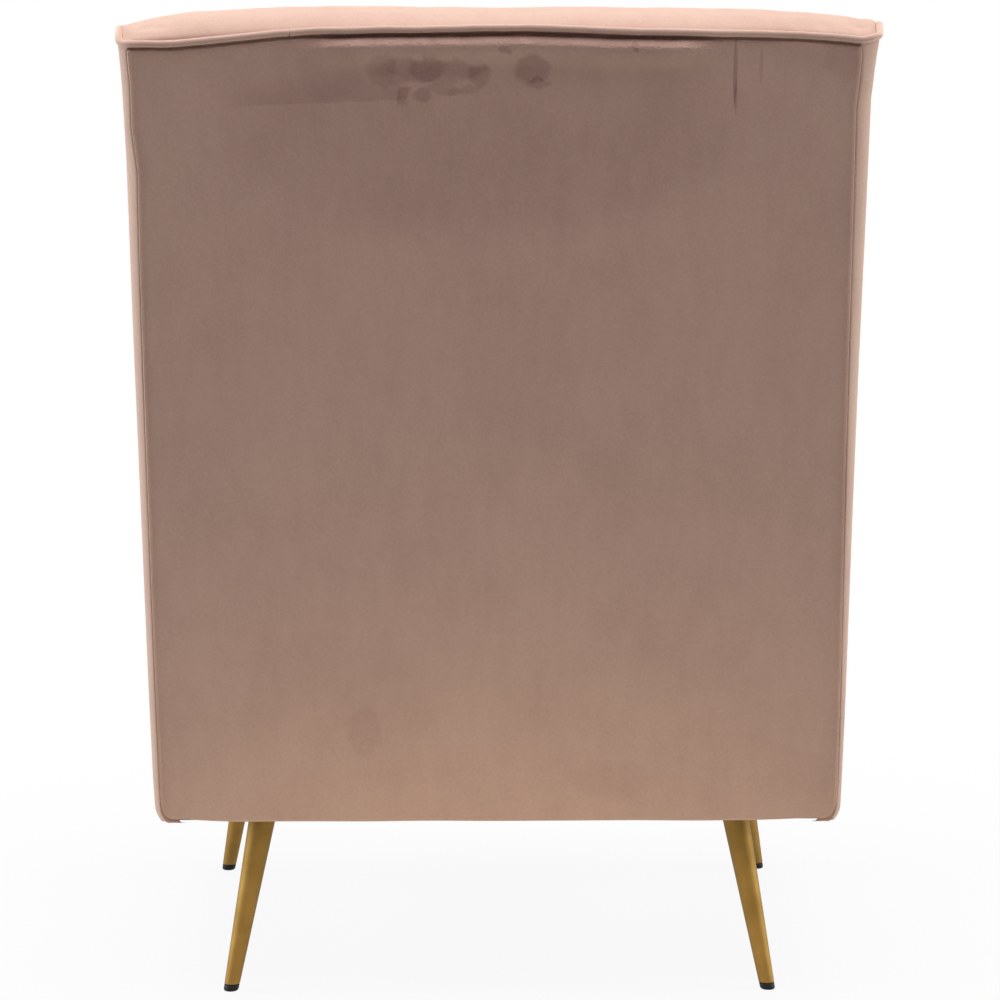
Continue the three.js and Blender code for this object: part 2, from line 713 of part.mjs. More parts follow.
function addSideFrames() {
  const across = [timberInnerAcross, timberOuterAcross];
  const core = acrossPrism(sideOutline(padTopDepth), across);
  const post = backRegion({ ahead: [backTimberRear, backTimberFront], rise: [-reach, topRailRise] });
  const ahead = backRegion({ ahead: [backTimberFront + gap, reach], rise: [-reach, topRailRise] });
  const overCover = region({ height: [timberBottom, reach] });
  addPair('back_post', splayed(keepInside(core, post, overCover)), 'timber');
  addPair('arm_post', splayed(keepInside(core, region({
    depth: [-frontRailFace, -armPostRear],
    height: [timberBottom, reach],
  }))), 'timber');
  addPair('side_seat_rail', splayed(keepInside(core, ahead, region({
    depth: [gap - armPostRear, reach],
    height: [timberBottom, railTop],
  }))), 'timber');

  const earEnd = (earShares.length - 1) * edgeSpanSteps;
  const armFront = earEnd + slopeShares.length * edgeSpanSteps;
  const upper = edgeRoute(padTopDepth).slice(earEnd, armFront + 1);
  const lower = edgeRoute(padTopDepth + armRailHeight).slice(earEnd, armFront + 1).reverse();
  const band = acrossPrism([...upper, ...lower], across);
  const behindPost = region({ depth: [gap - armPostRear, reach] });
  addPair('arm_rail', splayed(keepInside(band, ahead, behindPost)), 'plywood');
}

// A rail across the back, between the posts of the sides
function backRail(low, high, ahead = [backTimberRear, backTimberFront]) {
  const between = timberInnerAcross - gap;
  return backRegion({ across: [-between, between], ahead, rise: [low, high] });
}

function addCrossRails() {
  const between = timberInnerAcross - gap;
  addPiece('top_rail', splayed(backRail(topRailRise - topRailHeight, topRailRise)), 'timber');
  const lumbarRise = riseAt(0, deckHeight + lumbarClearance);
  addPiece('lumbar_rail', splayed(backRail(lumbarRise, lumbarRise + lumbarRailHeight)), 'timber');
  const rear = keepInside(backRail(-reach, reach), region({ height: [timberBottom, railTop] }));
  addPiece('rear_seat_rail', splayed(rear), 'timber');
  const front = region({
    across: [-between, between],
    depth: [-frontRailFace, -frontRailInner],
    height: [timberBottom, railTop],
  });
  addPiece('front_seat_rail', splayed(front), 'timber');

  for (let i = 0; i < webCount; i += 1) {
    const middle = (i - (webCount - 1) / 2) * webSpacing;
    const web = backRegion({
      across: [middle - webWidth / 2, middle + webWidth / 2],
      ahead: [backTimberFront + gap, backTimberFront + gap + webThickness],
      rise: [lumbarRise, topRailRise],
    });
    addPiece(`back_web_${i + 1}`, splayed(web), 'webbing');
  }
}

// Legs: each is a tapered tube with a solid top, a glide in its foot, a plate and a bolt over it

const legPlaces = [
  { end: 'front', across: frontBaseWidth / 2 - frontFootInset, ahead: bodyDepth - frontFootBehind, lean: 1 },
  { end: 'rear', across: rearBaseWidth / 2 - rearFootInset, ahead: rearFootAhead, lean: -1 },
].map(({ end, across, ahead, lean }) => {
  const foot = new THREE.Vector3(across, -ahead, 0);
  const inward = new THREE.Vector3(-Math.tan(sideSplay), lean * Math.tan(endSplay), 1);
  return { end, foot, inward, top: foot.clone().addScaledVector(inward, legTopHeight) };
});

// A turned profile, given as radius and height along the leg, stood on its foot and leant to its top
function turnedAlongLeg(profile, { foot, inward }) {
  const points = profile.map(([radius, height]) => new THREE.Vector2(radius, height));
  const geometry = new THREE.LatheGeometry(points, legSides).rotateX(Math.PI / 2);
  const upwards = new THREE.Vector3(0, 0, 1);
  const lean = new THREE.Quaternion().setFromUnitVectors(upwards, inward.clone().normalize());
  return welded(geometry.applyQuaternion(lean).translate(foot.x, foot.y, foot.z));
}

function upright(radius, x, y, [low, high]) {
  const cylinder = new THREE.CylinderGeometry(radius, radius, high - low, holeSides).rotateX(Math.PI / 2);
  return cylinder.translate(x, y, (low + high) / 2);
}

function legRadiusAt(along, length) {
  return lerp(legFootDiameter, legTopDiameter, along / length) / 2;
}

function addLeg(place) {
  const { end, top } = place;
  const length = legTopHeight * place.inward.length();
  const spare = legTopDiameter; // the tube runs on past its level top before it is cut
  const plug = length - legPlugDepth;
  const foot = glideHeight + gap;
  const outer = (along) => legRadiusAt(along, length);
  const inner = (along) => outer(along) - legWall;
  const tube = turnedAlongLeg([
    [0, plug],
    [inner(plug), plug],
    [inner(foot), foot],
    [outer(foot), foot],
    [outer(length + spare), length + spare],
    [0, length + spare],
  ], place);
  const boltRoom = upright(boltDiameter / 2 + gap, top.x, top.y, [legTopHeight - boltInLeg - gap, reach]);
  const leg = cutAway(keepInside(tube, region({ height: [-reach, legTopHeight] })), boltRoom);
  addPair(`leg_${end}`, leg, 'brushedBrass');

  const spigot = inner(foot) - gap;
  const glide = turnedAlongLeg([
    [0, -spare],
    [outer(0), -spare],
    [outer(glideHeight), glideHeight],
    [spigot, glideHeight],
    [spigot, glideHeight + glideSpigotHeight],
    [0, glideHeight + glideSpigotHeight],
  ], place);
  addPair(`glide_${end}`, keepInside(glide, region({ height: [0, reach] })), 'blackPlastic');

  const plate = rectangle(plateSize, plateSize, plateCornerRadius);
  const addHole = (x, y, diameter, sides) => {
    const hole = roundSection(diameter, sides).map((point) => point.add(new THREE.Vector2(x, y)));
    plate.holes.push(new THREE.Path(hole));
  };
  const holePlace = plateSize / 2 - plateHoleInset;
  for (const [x, y] of [[1, 1], [-1, 1], [-1, -1], [1, -1]]) {
    addHole(x * holePlace, y * holePlace, plateHoleDiameter, plateHoleSides);
  }
  addHole(0, 0, boltDiameter + 2 * gap, holeSides);
  const sheet = new THREE.ExtrudeGeometry(plate, {
    depth: plateThickness,
    bevelEnabled: false,
    curveSegments: plateTurnSteps,
  });
  addPair(`leg_plate_${end}`, sheet.translate(top.x, top.y, plateBottom), 'zincSteel');

  const half = boltDiameter / 2;
  const [low, high] = [legTopHeight - boltInLeg, timberBottom + boltInBlock];
  const stud = [
    [0, low],
    [half - boltChamfer, low],
    [half, low + boltChamfer],
    [half, high - boltChamfer],
    [half - boltChamfer, high],
    [0, high],
  ].map(([radius, height]) => new THREE.Vector2(radius, height));
  const bolt = new THREE.LatheGeometry(stud, holeSides).rotateX(Math.PI / 2);
  addPair(`leg_bolt_${end}`, welded(bolt.translate(top.x, top.y, 0)), 'zincSteel');
}

function addCornerBlocks() {
  const corner = timberInnerAcross - gap;
  const blockTop = timberBottom + cornerBlockHeight;
  const walls = { front: gap - frontRailInner, rear: backDepthAt(backTimberFront, blockTop) };
  for (const { end, top } of legPlaces) {
    const start = walls[end];
    const away = end === 'front' ? 1 : -1;
    const triangle = new THREE.Shape([
      new THREE.Vector2(corner, start),
      new THREE.Vector2(corner, start + away * cornerBlockLeg),
      new THREE.Vector2(corner - cornerBlockLeg, start),
    ]);
    const prism = new THREE.ExtrudeGeometry(triangle, { depth: cornerBlockHeight, bevelEnabled: false });
    const aheadOfRail = backRegion({ ahead: [backTimberFront + gap, reach] });
    const body = keepInside(prism.translate(0, 0, timberBottom), aheadOfRail);
    const room = upright(boltDiameter / 2 + gap, top.x, top.y, [-reach, timberBottom + boltInBlock + gap]);
    addPair(`corner_block_${end}`, cutAway(splayed(body), room), 'timber');
  }
}

function addDustCover() {
  const edge = timberOuterAcross;
  const front = padTopDepth - bodyDepth;
  const rear = backDepthAt(backTimberRear, baseHeight + coverRecess);
  const sheet = region({
    across: [-edge, edge],
    depth: [front, rear],
    height: [baseHeight + coverRecess, timberBottom - gap],
  });
  const tray = region({
    across: [hemWidth - edge, edge - hemWidth],
    depth: [front + hemWidth, rear - hemWidth],
    height: [coverTop, reach],
  });
  const cover = splayed(cutAway(sheet, tray));
  const holes = legPlaces.flatMap(({ top }) => {
    const hole = upright(legTopDiameter / 2 + legHoleClearance, top.x, top.y, [-reach, reach]);
    return [hole, mirrored(hole)];
  });
  addPiece('dust_cover', cutAway(cover, ...holes), 'blackCambric');
}

// Seat suspension: sinuous springs from a strip on the front rail to one on the rear rail

function addSuspension() {
  const between = timberInnerAcross - gap;
  const rearRailRear = backDepthAt(backTimberRear, railTop);
  const ends = [-frontRailFace + stripWidth, rearRailRear - stripWidth];
  const strips = [
    ['front', -frontRailFace, ends[0], -frontRailFace],
    ['rear', ends[1], rearRailRear, rearRailRear - stripThickness],
  ];
  for (const [end, low, high, lip] of strips) {
    const across = [-between, between];
    const foot = region({ across, depth: [low, high], height: [railTop + gap, stripTop] });
    const wall = region({
      across,
      depth: [lip, lip + stripThickness],
      height: [railTop + gap, stripTop + stripLipHeight],
    });
    const behind = end === 'rear' ? backRegion({ ahead: [backTimberRear, reach] }) : region({});
    const angle = keepInside(geometryOf(solidOf(foot).add(solidOf(wall))), behind);
    addPiece(`spring_strip_${end}`, splayed(angle), 'zincSteel');
  }

  const runStart = stripThickness + springWireDiameter - frontRailFace;
  const runEnd = rearRailRear - 2 * stripThickness - springWireDiameter;
  for (let i = 0; i < springCount; i += 1) {
    const middle = (i - (springCount - 1) / 2) * springSpacing;
    const side = middle < 0 ? -1 : 1;
    const steps = springHalfWaves * stepsPerHalfWave;
    const points = Array.from({ length: steps + 1 }, (_, step) => {
      const share = step / steps;
      const wave = Math.sin(share * springHalfWaves * Math.PI) * (springWaveWidth - springWireDiameter) / 2;
      return new THREE.Vector3(
        middle + side * wave,
        lerp(runStart, runEnd, share),
        springEndHeight + springCrown * Math.sin(Math.PI * share),
      );
    });
    const wire = new THREE.ExtrudeGeometry(new THREE.Shape(roundSection(springWireDiameter, springSides)), {
      extrudePath: new THREE.CatmullRomCurve3(points),
      steps,
      bevelEnabled: false,
    });
    addPiece(`seat_spring_${i + 1}`, splayed(wire), 'springSteel');
  }

  const pads = [
    ['spring_pad', springPadBottom, springPadBottom + springPadThickness, 'felt'],
    ['seat_deck', deckBottom, deckHeight - gap, 'foam'],
  ];
  for (const [name, low, high, finish] of pads) {
    const across = [-seatHalfWidth, seatHalfWidth];
    const slab = region({ across, depth: [-frontRailFace, reach], height: [low, high] });
    const aheadOfWebs = backRegion({ ahead: [insideBackRear, reach] });
    addPiece(name, splayed(keepInside(slab, aheadOfWebs)), finish);
  }
}

addOutsidePanels();
addInsideBack();
addSidePads();
addEdgeWelts();
addSeatCushion();
addFrontBorder();
addSideFrames();
addCrossRails();
legPlaces.forEach(addLeg);
addCornerBlocks();
addDustCover();
addSuspension();

// The origin comes to the middle of the chair's depth
const box = new THREE.Box3().setFromObject(chair);
chair.position.y = -box.getCenter(new THREE.Vector3()).y;

export default chair;
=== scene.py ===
"""Dresses the lounge chair: velvet covers, welts, stitches, legs, underside, floor, lamps and camera.

Lengths are metres. The chair stands on the floor at Z = 0 and faces -Y, with its left arm at +X.
Its covers are shaped straight, on a body with upright sides, and then splayed as the frame is.
"""

import json
import logging
import math
from dataclasses import dataclass, field
from enum import Enum
from typing import Any, Callable, ClassVar, Iterator, Mapping, Optional, Sequence, Union

import bmesh
import bpy
import numpy as np
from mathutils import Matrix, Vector
from mathutils.geometry import delaunay_2d_cdt

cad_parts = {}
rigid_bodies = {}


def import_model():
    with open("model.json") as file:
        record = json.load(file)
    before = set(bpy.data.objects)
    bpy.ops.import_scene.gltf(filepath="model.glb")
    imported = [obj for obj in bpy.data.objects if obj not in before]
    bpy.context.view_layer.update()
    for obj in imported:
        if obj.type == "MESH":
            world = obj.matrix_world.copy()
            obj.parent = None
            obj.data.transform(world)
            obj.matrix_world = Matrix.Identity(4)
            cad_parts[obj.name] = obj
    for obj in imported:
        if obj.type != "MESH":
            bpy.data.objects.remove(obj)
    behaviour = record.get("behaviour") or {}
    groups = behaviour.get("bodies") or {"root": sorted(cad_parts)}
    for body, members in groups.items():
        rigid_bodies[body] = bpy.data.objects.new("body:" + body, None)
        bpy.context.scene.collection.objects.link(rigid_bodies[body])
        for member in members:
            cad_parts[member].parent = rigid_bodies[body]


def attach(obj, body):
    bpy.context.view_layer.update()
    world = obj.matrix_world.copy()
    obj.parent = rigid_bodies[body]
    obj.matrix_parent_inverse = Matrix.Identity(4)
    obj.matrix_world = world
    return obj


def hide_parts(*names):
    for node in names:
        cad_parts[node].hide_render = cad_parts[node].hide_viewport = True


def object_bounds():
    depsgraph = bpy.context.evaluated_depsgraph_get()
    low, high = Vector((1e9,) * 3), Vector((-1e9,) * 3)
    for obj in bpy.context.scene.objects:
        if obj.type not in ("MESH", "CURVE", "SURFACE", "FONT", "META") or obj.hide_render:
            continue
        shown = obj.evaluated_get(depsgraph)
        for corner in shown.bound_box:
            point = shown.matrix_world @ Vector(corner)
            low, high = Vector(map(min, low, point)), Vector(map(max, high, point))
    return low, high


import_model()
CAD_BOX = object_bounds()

log = logging.getLogger("lounge_chair")

Colour = tuple[float, float, float, float]
Pair = tuple[float, float]
Triple = tuple[float, float, float]
Material = bpy.types.Material
Piece = bpy.types.Object
Points = np.ndarray
Numbers = Union[float, np.ndarray]
MM = 0.001


def srgb(red: int, green: int, blue: int) -> Colour:
    """Turns a colour as it is seen on a screen into the linear one that shaders take.

    Args:
        red: From 0 to 255, as are green and blue.
        green: See red.
        blue: See red.

    Returns:
        The linear colour, opaque.
    """
    def linear(level: int) -> float:
        """Gives one linear level."""
        share = level / 255
        return share / 12.92 if share <= 0.04045 else ((share + 0.055) / 1.055) ** 2.4

    return linear(red), linear(green), linear(blue), 1.0


# Shader graphs


class Wire:
    """An output socket of a graph, on which Python's operators add Math nodes."""

    def __init__(self, graph: "NodeGraph", socket: bpy.types.NodeSocket) -> None:
        """Wraps a socket of the graph."""
        self.graph = graph
        self.socket = socket

    def _math(self, operation: str, *operands: "Value") -> "Wire":
        """Adds a Math node on the operands, in their order."""
        return self.graph.node("ShaderNodeMath", {"operation": operation}, dict(enumerate(operands)))

    def __add__(self, other: "Value") -> "Wire":
        """self + other"""
        return self._math("ADD", self, other)

    def __radd__(self, other: "Value") -> "Wire":
        """other + self"""
        return self._math("ADD", other, self)

    def __sub__(self, other: "Value") -> "Wire":
        """self - other"""
        return self._math("SUBTRACT", self, other)

    def __rsub__(self, other: "Value") -> "Wire":
        """other - self"""
        return self._math("SUBTRACT", other, self)

    def __mul__(self, other: "Value") -> "Wire":
        """self * other"""
        return self._math("MULTIPLY", self, other)

    def __rmul__(self, other: "Value") -> "Wire":
        """other * self"""
        return self._math("MULTIPLY", other, self)

    def __truediv__(self, other: "Value") -> "Wire":
        """self / other"""
        return self._math("DIVIDE", self, other)

    def __rtruediv__(self, other: "Value") -> "Wire":
        """other / self"""
        return self._math("DIVIDE", other, self)

    def __pow__(self, other: "Value") -> "Wire":
        """self ** other"""
        return self._math("POWER", self, other)

    def highest(self, other: "Value") -> "Wire":
        """Gives the larger of two values."""
        return self._math("MAXIMUM", self, other)

    def sine(self) -> "Wire":
        """Gives the sine of an angle."""
        return self._math("SINE", self)

    def step(self, low: float, high: float) -> "Wire":
        """Rises smoothly from 0 to 1 between two values; falls if low is above high.

        Args:
            low: Where it is 0.
            high: Where it is 1.

        Returns:
            The smooth step.
        """
        limits = {"From Min": min(low, high), "From Max": max(low, high)}
        ends = {"To Min": float(low > high), "To Max": float(low < high)}
        return self.graph.node(
            "ShaderNodeMapRange", {"interpolation_type": "SMOOTHSTEP"}, {"Value": self, **limits, **ends}
        )


Value = Union[Wire, float, int]


class NodeGraph:
    """A node tree whose nodes are added by one method."""

    def __init__(self, tree: bpy.types.NodeTree) -> None:
        """Starts with an empty tree."""
        self.tree = tree
        tree.nodes.clear()

    def node(
        self,
        kind: str,
        settings: Optional[Mapping[str, Any]] = None,
        sockets: Optional[Mapping[Union[str, int], Any]] = None,
        output: Union[str, int] = 0,
    ) -> Wire:
        """Adds a node.

        Args:
            kind: The node's type.
            settings: Its own properties.
            sockets: Values or wires for its inputs, by name or place.
            output: The name or place of the output wanted.

        Returns:
            That output.
        """
        made = self.tree.nodes.new(kind)
        for name, value in (settings or {}).items():
            setattr(made, name, value)
        for key, value in (sockets or {}).items():
            if isinstance(value, Wire):
                self.tree.links.new(value.socket, made.inputs[key])
            else:
                made.inputs[key].default_value = value
        return Wire(self, made.outputs[output])

    def end_in(self, kind: str, last: Wire) -> None:
        """Feeds a wire to a new output node."""
        self.tree.links.new(last.socket, self.tree.nodes.new(kind).inputs[0])


class ShaderGraph(NodeGraph):
    """The node tree of a material or of the world."""

    # The places of a colour Mix node's sockets
    FACTOR, FIRST, SECOND, MIXED = 0, 6, 7, 2

    def __init__(self, name: str, world: Optional[bpy.types.World] = None) -> None:
        """Starts an empty tree in a new material of that name, or in the world.

        Args:
            name: What the material is called.
            world: The world, if the graph is its own.
        """
        self.owner = world or bpy.data.materials.new(name)
        self.owner.use_nodes = True
        super().__init__(self.owner.node_tree)

    def place(self) -> Wire:
        """Gives the object's own coordinates."""
        return self.node("ShaderNodeTexCoord", output="Object")

    def axes(self, vector: Wire) -> tuple[Wire, Wire, Wire]:
        """Splits a vector into its three values."""
        split = self.node("ShaderNodeSeparateXYZ", None, {0: vector}).socket.node
        return tuple(Wire(self, split.outputs[i]) for i in range(3))

    def stretched(self, vector: Wire, scale: Triple) -> Wire:
        """Scales a pattern's coordinates along each axis."""
        return self.node("ShaderNodeMapping", None, {"Vector": vector, "Scale": scale})

    def noise(self, vector: Wire, scale: float, detail: float = 2.0, roughness: float = 0.5) -> Wire:
        """Adds soft noise from 0 to 1.

        Args:
            vector: Where it is read.
            scale: Its grains for each metre.
            detail: How many finer layers it has.
            roughness: How strong the finer layers are.

        Returns:
            The noise, about 0.5 on average.
        """
        sockets = {"Vector": vector, "Scale": scale, "Detail": detail, "Roughness": roughness}
        return self.node("ShaderNodeTexNoise", None, sockets)

    def mix(self, factor: Value, first: Union[Wire, Colour], second: Union[Wire, Colour]) -> Wire:
        """Mixes two colours by a factor."""
        sockets = {self.FACTOR: factor, self.FIRST: first, self.SECOND: second}
        return self.node("ShaderNodeMix", {"data_type": "RGBA"}, sockets, self.MIXED)

    def bump(
        self, height: Wire, distance: float, strength: float = 1.0, under: Optional[Wire] = None
    ) -> Wire:
        """Turns heights into normals, over normals made before if there are any.

        Args:
            height: From 0 to 1.
            distance: The height of 1, in metres.
            strength: How much of it shows.
            under: The normals below it.

        Returns:
            The normals.
        """
        sockets = {"Height": height, "Distance": distance, "Strength": strength}
        if under is not None:
            sockets["Normal"] = under
        return self.node("ShaderNodeBump", None, sockets)

    def end(self, shader: Wire) -> Union[Material, bpy.types.World]:
        """Ends the graph in any shader and gives what it belongs to.

        Args:
            shader: The last node's output.

        Returns:
            The material or the world.
        """
        world = isinstance(self.owner, bpy.types.World)
        self.end_in("ShaderNodeOutputWorld" if world else "ShaderNodeOutputMaterial", shader)
        return self.owner


# Finishes


@dataclass(frozen=True)
class Finish:
    """A finish with a colour, which the standard shader shows."""

    name: str
    colour: Colour

    def sockets(self, graph: ShaderGraph, place: Wire) -> dict[str, Any]:
        """Gives the shader's values and wires, by name, from the object's own coordinates."""
        raise NotImplementedError

    def build(self) -> Material:
        """Builds the material.

        Returns:
            The finished material.
        """
        graph = ShaderGraph(self.name)
        sockets = self.sockets(graph, graph.place())
        return graph.end(graph.node("ShaderNodeBsdfPrincipled", None, sockets))


@dataclass(frozen=True)
class NapMark:
    """A darker patch painted on the cloth: most stand for places where a hand has brushed the pile, and
    the broad one below the top welt is partly painted shade.
    """

    across: float
    height: float
    width: float
    length: float
    strength: float
    edge: float = 1.3
    full: float = 0.4

    def dark(self, x: Wire, z: Wire) -> Wire:
        """Gives how dark it makes a place."""
        apart = ((x - self.across) / self.width) ** 2 + ((z - self.height) / self.length) ** 2
        return apart.step(self.edge, self.full * self.edge) * self.strength


@dataclass(frozen=True)
class NapSweep:
    """A zone painted darker above a straight border, fading upwards: below the top welt's band it is
    partly painted shade and partly pile brushed the other way.
    """

    border: tuple[Pair, Pair]
    height: float
    strength: float
    ends: Pair = (20 * MM, 8 * MM)
    crisp: Pair = (-0.5 * MM, 0.7 * MM)
    full: float = 3 * MM

    def dark(self, x: Wire, z: Wire) -> Wire:
        """Gives how dark it makes a place.

        Args:
            x: The place across.
            z: Its height.

        Returns:
            The share of the shade.
        """
        (left, low), (right, high) = self.border
        above = z - (x - left) * ((high - low) / (right - left)) - low
        ends = x.step(right - self.ends[1], right) * x.step(left + self.ends[0], left - self.ends[0])
        return above.step(*self.crisp) * above.step(self.height, self.full) * ends * self.strength


@dataclass(frozen=True)
class Velvet(Finish):
    """Short-pile velvet: dull from the front, pale where it is seen at a low angle."""

    name: str = "velvet"
    colour: Colour = srgb(193, 157, 142)
    # The darker pile tone; below the top welt the marks also lay it on, partly as painted shade
    shade: Colour = srgb(124, 86, 82)
    sheen: float = 0.5
    sheen_tint: Colour = srgb(255, 226, 206)
    pile: float = 0.9 * MM
    streak: Triple = (60.0, 60.0, 14.0)
    streaks: float = 0.07
    clouds: float = 0.09
    grain: float = 2.4 * MM
    crumple: float = 0.35 * MM
    marks: tuple[NapMark, ...] = ()
    sweeps: tuple[NapSweep, ...] = ()
    stray: float = 16 * MM
    stray_scale: float = 70.0
    thin: float = 4 * MM
    # Gives from 0 to 1 how crumpled the cloth is at a place, if it is anywhere
    creased: Optional[Callable[[ShaderGraph, Wire], Wire]] = None

    def sockets(self, graph: ShaderGraph, place: Wire) -> dict[str, Any]:
        """Gives the shader's values and wires.

        Args:
            graph: The material's graph.
            place: The object's own coordinates.

        Returns:
            The values and wires, by socket.
        """
        pile = graph.noise(place, 1 / self.pile, 3.0, 0.65)
        streaks = graph.noise(graph.stretched(place, self.streak), 1.0, 4.0, 0.6)
        clouds = graph.noise(place, 11.0, 3.0, 0.55)
        shaded = streaks.step(0.3, 0.75) * self.streaks + clouds.step(0.35, 0.75) * self.clouds
        grain = graph.noise(place, 1 / self.grain, 2.0, 0.7)
        shaded = shaded + (pile - 0.5) * 0.3 + (grain - 0.5) * 0.3 + 0.02
        # Marks and sweeps darken the pile; below the top welt they are partly painted shade
        if self.marks:
            shaded = shaded.highest(0.0) + self._brushed(graph, place)
        colour = graph.mix(shaded.highest(0.0), self.colour, self.shade)
        normal = graph.bump(pile, 0.25 * MM, 0.35)
        if self.creased is not None:
            folds = graph.noise(graph.stretched(place, (1.0, 1.0, 1.9)), 330.0, 3.0, 0.6)
            normal = graph.bump(folds * self.creased(graph, place), 6 * self.crumple, 0.8, normal)
        return {
            "Base Color": colour,
            "Roughness": 0.92,
            "Specular IOR Level": 0.18,
            "Sheen Weight": self.sheen,
            "Sheen Roughness": 0.42,
            "Sheen Tint": self.sheen_tint,
            "Normal": normal,
        }

    def _brushed(self, graph: ShaderGraph, place: Wire) -> Wire:
        """Gives how dark the marks and sweeps are at a place, pile and, below the top welt, painted
        shade; thin marks alone keep a plain outline.

        Args:
            graph: The material's graph.
            place: The object's own coordinates.

        Returns:
            The share of the shade.
        """
        sockets = {"Vector": place, "Scale": self.stray_scale, "Detail": 3.0}
        stray = graph.node("ShaderNodeTexNoise", None, sockets, "Color")
        sockets = {0: stray, 1: (self.stray,) * 3, 2: place}
        moved = graph.node("ShaderNodeVectorMath", {"operation": "MULTIPLY_ADD"}, sockets)
        x, _, z = graph.axes(place)
        strayed_x, _, strayed_z = (axis - self.stray / 2 for axis in graph.axes(moved))
        dark: Value = 0.0
        for mark in self.marks:
            plain = mark.width < self.thin
            dark = mark.dark(x if plain else strayed_x, z if plain else strayed_z) + dark
        for sweep in self.sweeps:
            dark = sweep.dark(x, z) + dark
        return dark


@dataclass(frozen=True)
class BrushedBrass(Finish):
    """Brass plating, brushed round the leg."""

    name: str = "brushed_brass"
    colour: Colour = srgb(146, 112, 56)
    worn: Colour = srgb(122, 92, 44)

    def sockets(self, graph: ShaderGraph, place: Wire) -> dict[str, Any]:
        """Gives the shader's values and wires.

        Args:
            graph: The material's graph.
            place: The object's own coordinates.

        Returns:
            The values and wires, by socket.
        """
        rings = graph.noise(graph.stretched(place, (12.0, 12.0, 2600.0)), 1.0, 3.0, 0.7)
        clouds = graph.noise(place, 38.0, 3.0)
        colour = graph.mix(clouds.step(0.3, 0.8) * 0.5 + rings * 0.25, self.colour, self.worn)
        return {
            "Base Color": colour,
            "Metallic": 0.9,
            "Roughness": clouds * 0.1 + rings * 0.1 + 0.52,
            "Normal": graph.bump(rings, 0.05 * MM, 0.35),
        }


@dataclass(frozen=True)
class Moulded(Finish):
    """Moulded plastic with a fine grain."""

    grain: float = 0.4 * MM

    def sockets(self, graph: ShaderGraph, place: Wire) -> dict[str, Any]:
        """Gives the shader's values and wires.

        Args:
            graph: The material's graph.
            place: The object's own coordinates.

        Returns:
            The values and wires, by socket.
        """
        grain = graph.noise(place, 1 / self.grain, 2.0)
        scuffs = graph.noise(place, 160.0, 4.0, 0.7)
        lighter = tuple(min(1.0, level * 1.8 + 0.002) for level in self.colour[:3]) + (1.0,)
        return {
            "Base Color": graph.mix(scuffs.step(0.55, 0.8) * 0.5, self.colour, lighter),
            "Roughness": scuffs * 0.25 + 0.42,
            "Specular IOR Level": 0.22,
            "Normal": graph.bump(grain, 0.06 * MM, 0.5),
        }


@dataclass(frozen=True)
class Weave(Finish):
    """Plain woven or bonded cloth: two sets of threads that cross."""

    shade: Colour
    thread: float
    sheen: float = 0.1

    def sockets(self, graph: ShaderGraph, place: Wire) -> dict[str, Any]:
        """Gives the shader's values and wires.

        Args:
            graph: The material's graph.
            place: The object's own coordinates.

        Returns:
            The values and wires, by socket.
        """
        x, y, z = graph.axes(place)
        turns = 2 * math.pi / self.thread
        threads = ((x + z) * turns).sine() * ((y - z) * turns).sine() * 0.5 + 0.5
        fuzz = graph.noise(place, 900.0, 3.0, 0.7)
        return {
            "Base Color": graph.mix((threads * 0.5 + fuzz * 0.6).step(0.1, 1.0), self.shade, self.colour),
            "Roughness": 0.95,
            "Sheen Weight": self.sheen,
            "Normal": graph.bump(threads + fuzz * 0.5, 0.2 * MM, 0.6),
        }


@dataclass(frozen=True)
class Grain(Finish):
    """Sawn or planed wood, with its grain along one axis."""

    shade: Colour
    along: int
    plies: float = 0.0

    def sockets(self, graph: ShaderGraph, place: Wire) -> dict[str, Any]:
        """Gives the shader's values and wires.

        Args:
            graph: The material's graph.
            place: The object's own coordinates.

        Returns:
            The values and wires, by socket.
        """
        scale = [70.0, 70.0, 70.0]
        scale[self.along] = 4.0
        rings = graph.noise(graph.stretched(place, tuple(scale)), 1.0, 5.0, 0.62)
        pores = graph.noise(graph.stretched(place, tuple(12 * level for level in scale)), 1.0, 2.0)
        tone = rings.step(0.3, 0.7) * 0.7 + pores * 0.3
        if self.plies:
            x, _, _ = graph.axes(place)
            layers = (x * (2 * math.pi / self.plies)).sine()
            tone = tone * 0.5 + layers.step(-0.4, 0.4) * 0.5
        return {
            "Base Color": graph.mix(tone, self.colour, self.shade),
            "Roughness": pores * 0.2 + 0.6,
            "Normal": graph.bump(pores, 0.15 * MM, 0.5),
        }


@dataclass(frozen=True)
class MillSteel(Finish):
    """Drawn or rolled steel, dull from its plating or its oil."""

    spangle: float

    def sockets(self, graph: ShaderGraph, place: Wire) -> dict[str, Any]:
        """Gives the shader's values and wires.

        Args:
            graph: The material's graph.
            place: The object's own coordinates.

        Returns:
            The values and wires, by socket.
        """
        flakes = graph.noise(place, 1 / self.spangle, 2.0)
        stain = tuple(level * 0.55 for level in self.colour[:3]) + (1.0,)
        return {
            "Base Color": graph.mix(flakes.step(0.45, 0.7) * 0.6, self.colour, stain),
            "Metallic": 1.0,
            "Roughness": flakes * 0.25 + 0.3,
            "Normal": graph.bump(graph.noise(place, 700.0, 3.0), 0.04 * MM, 0.5),
        }


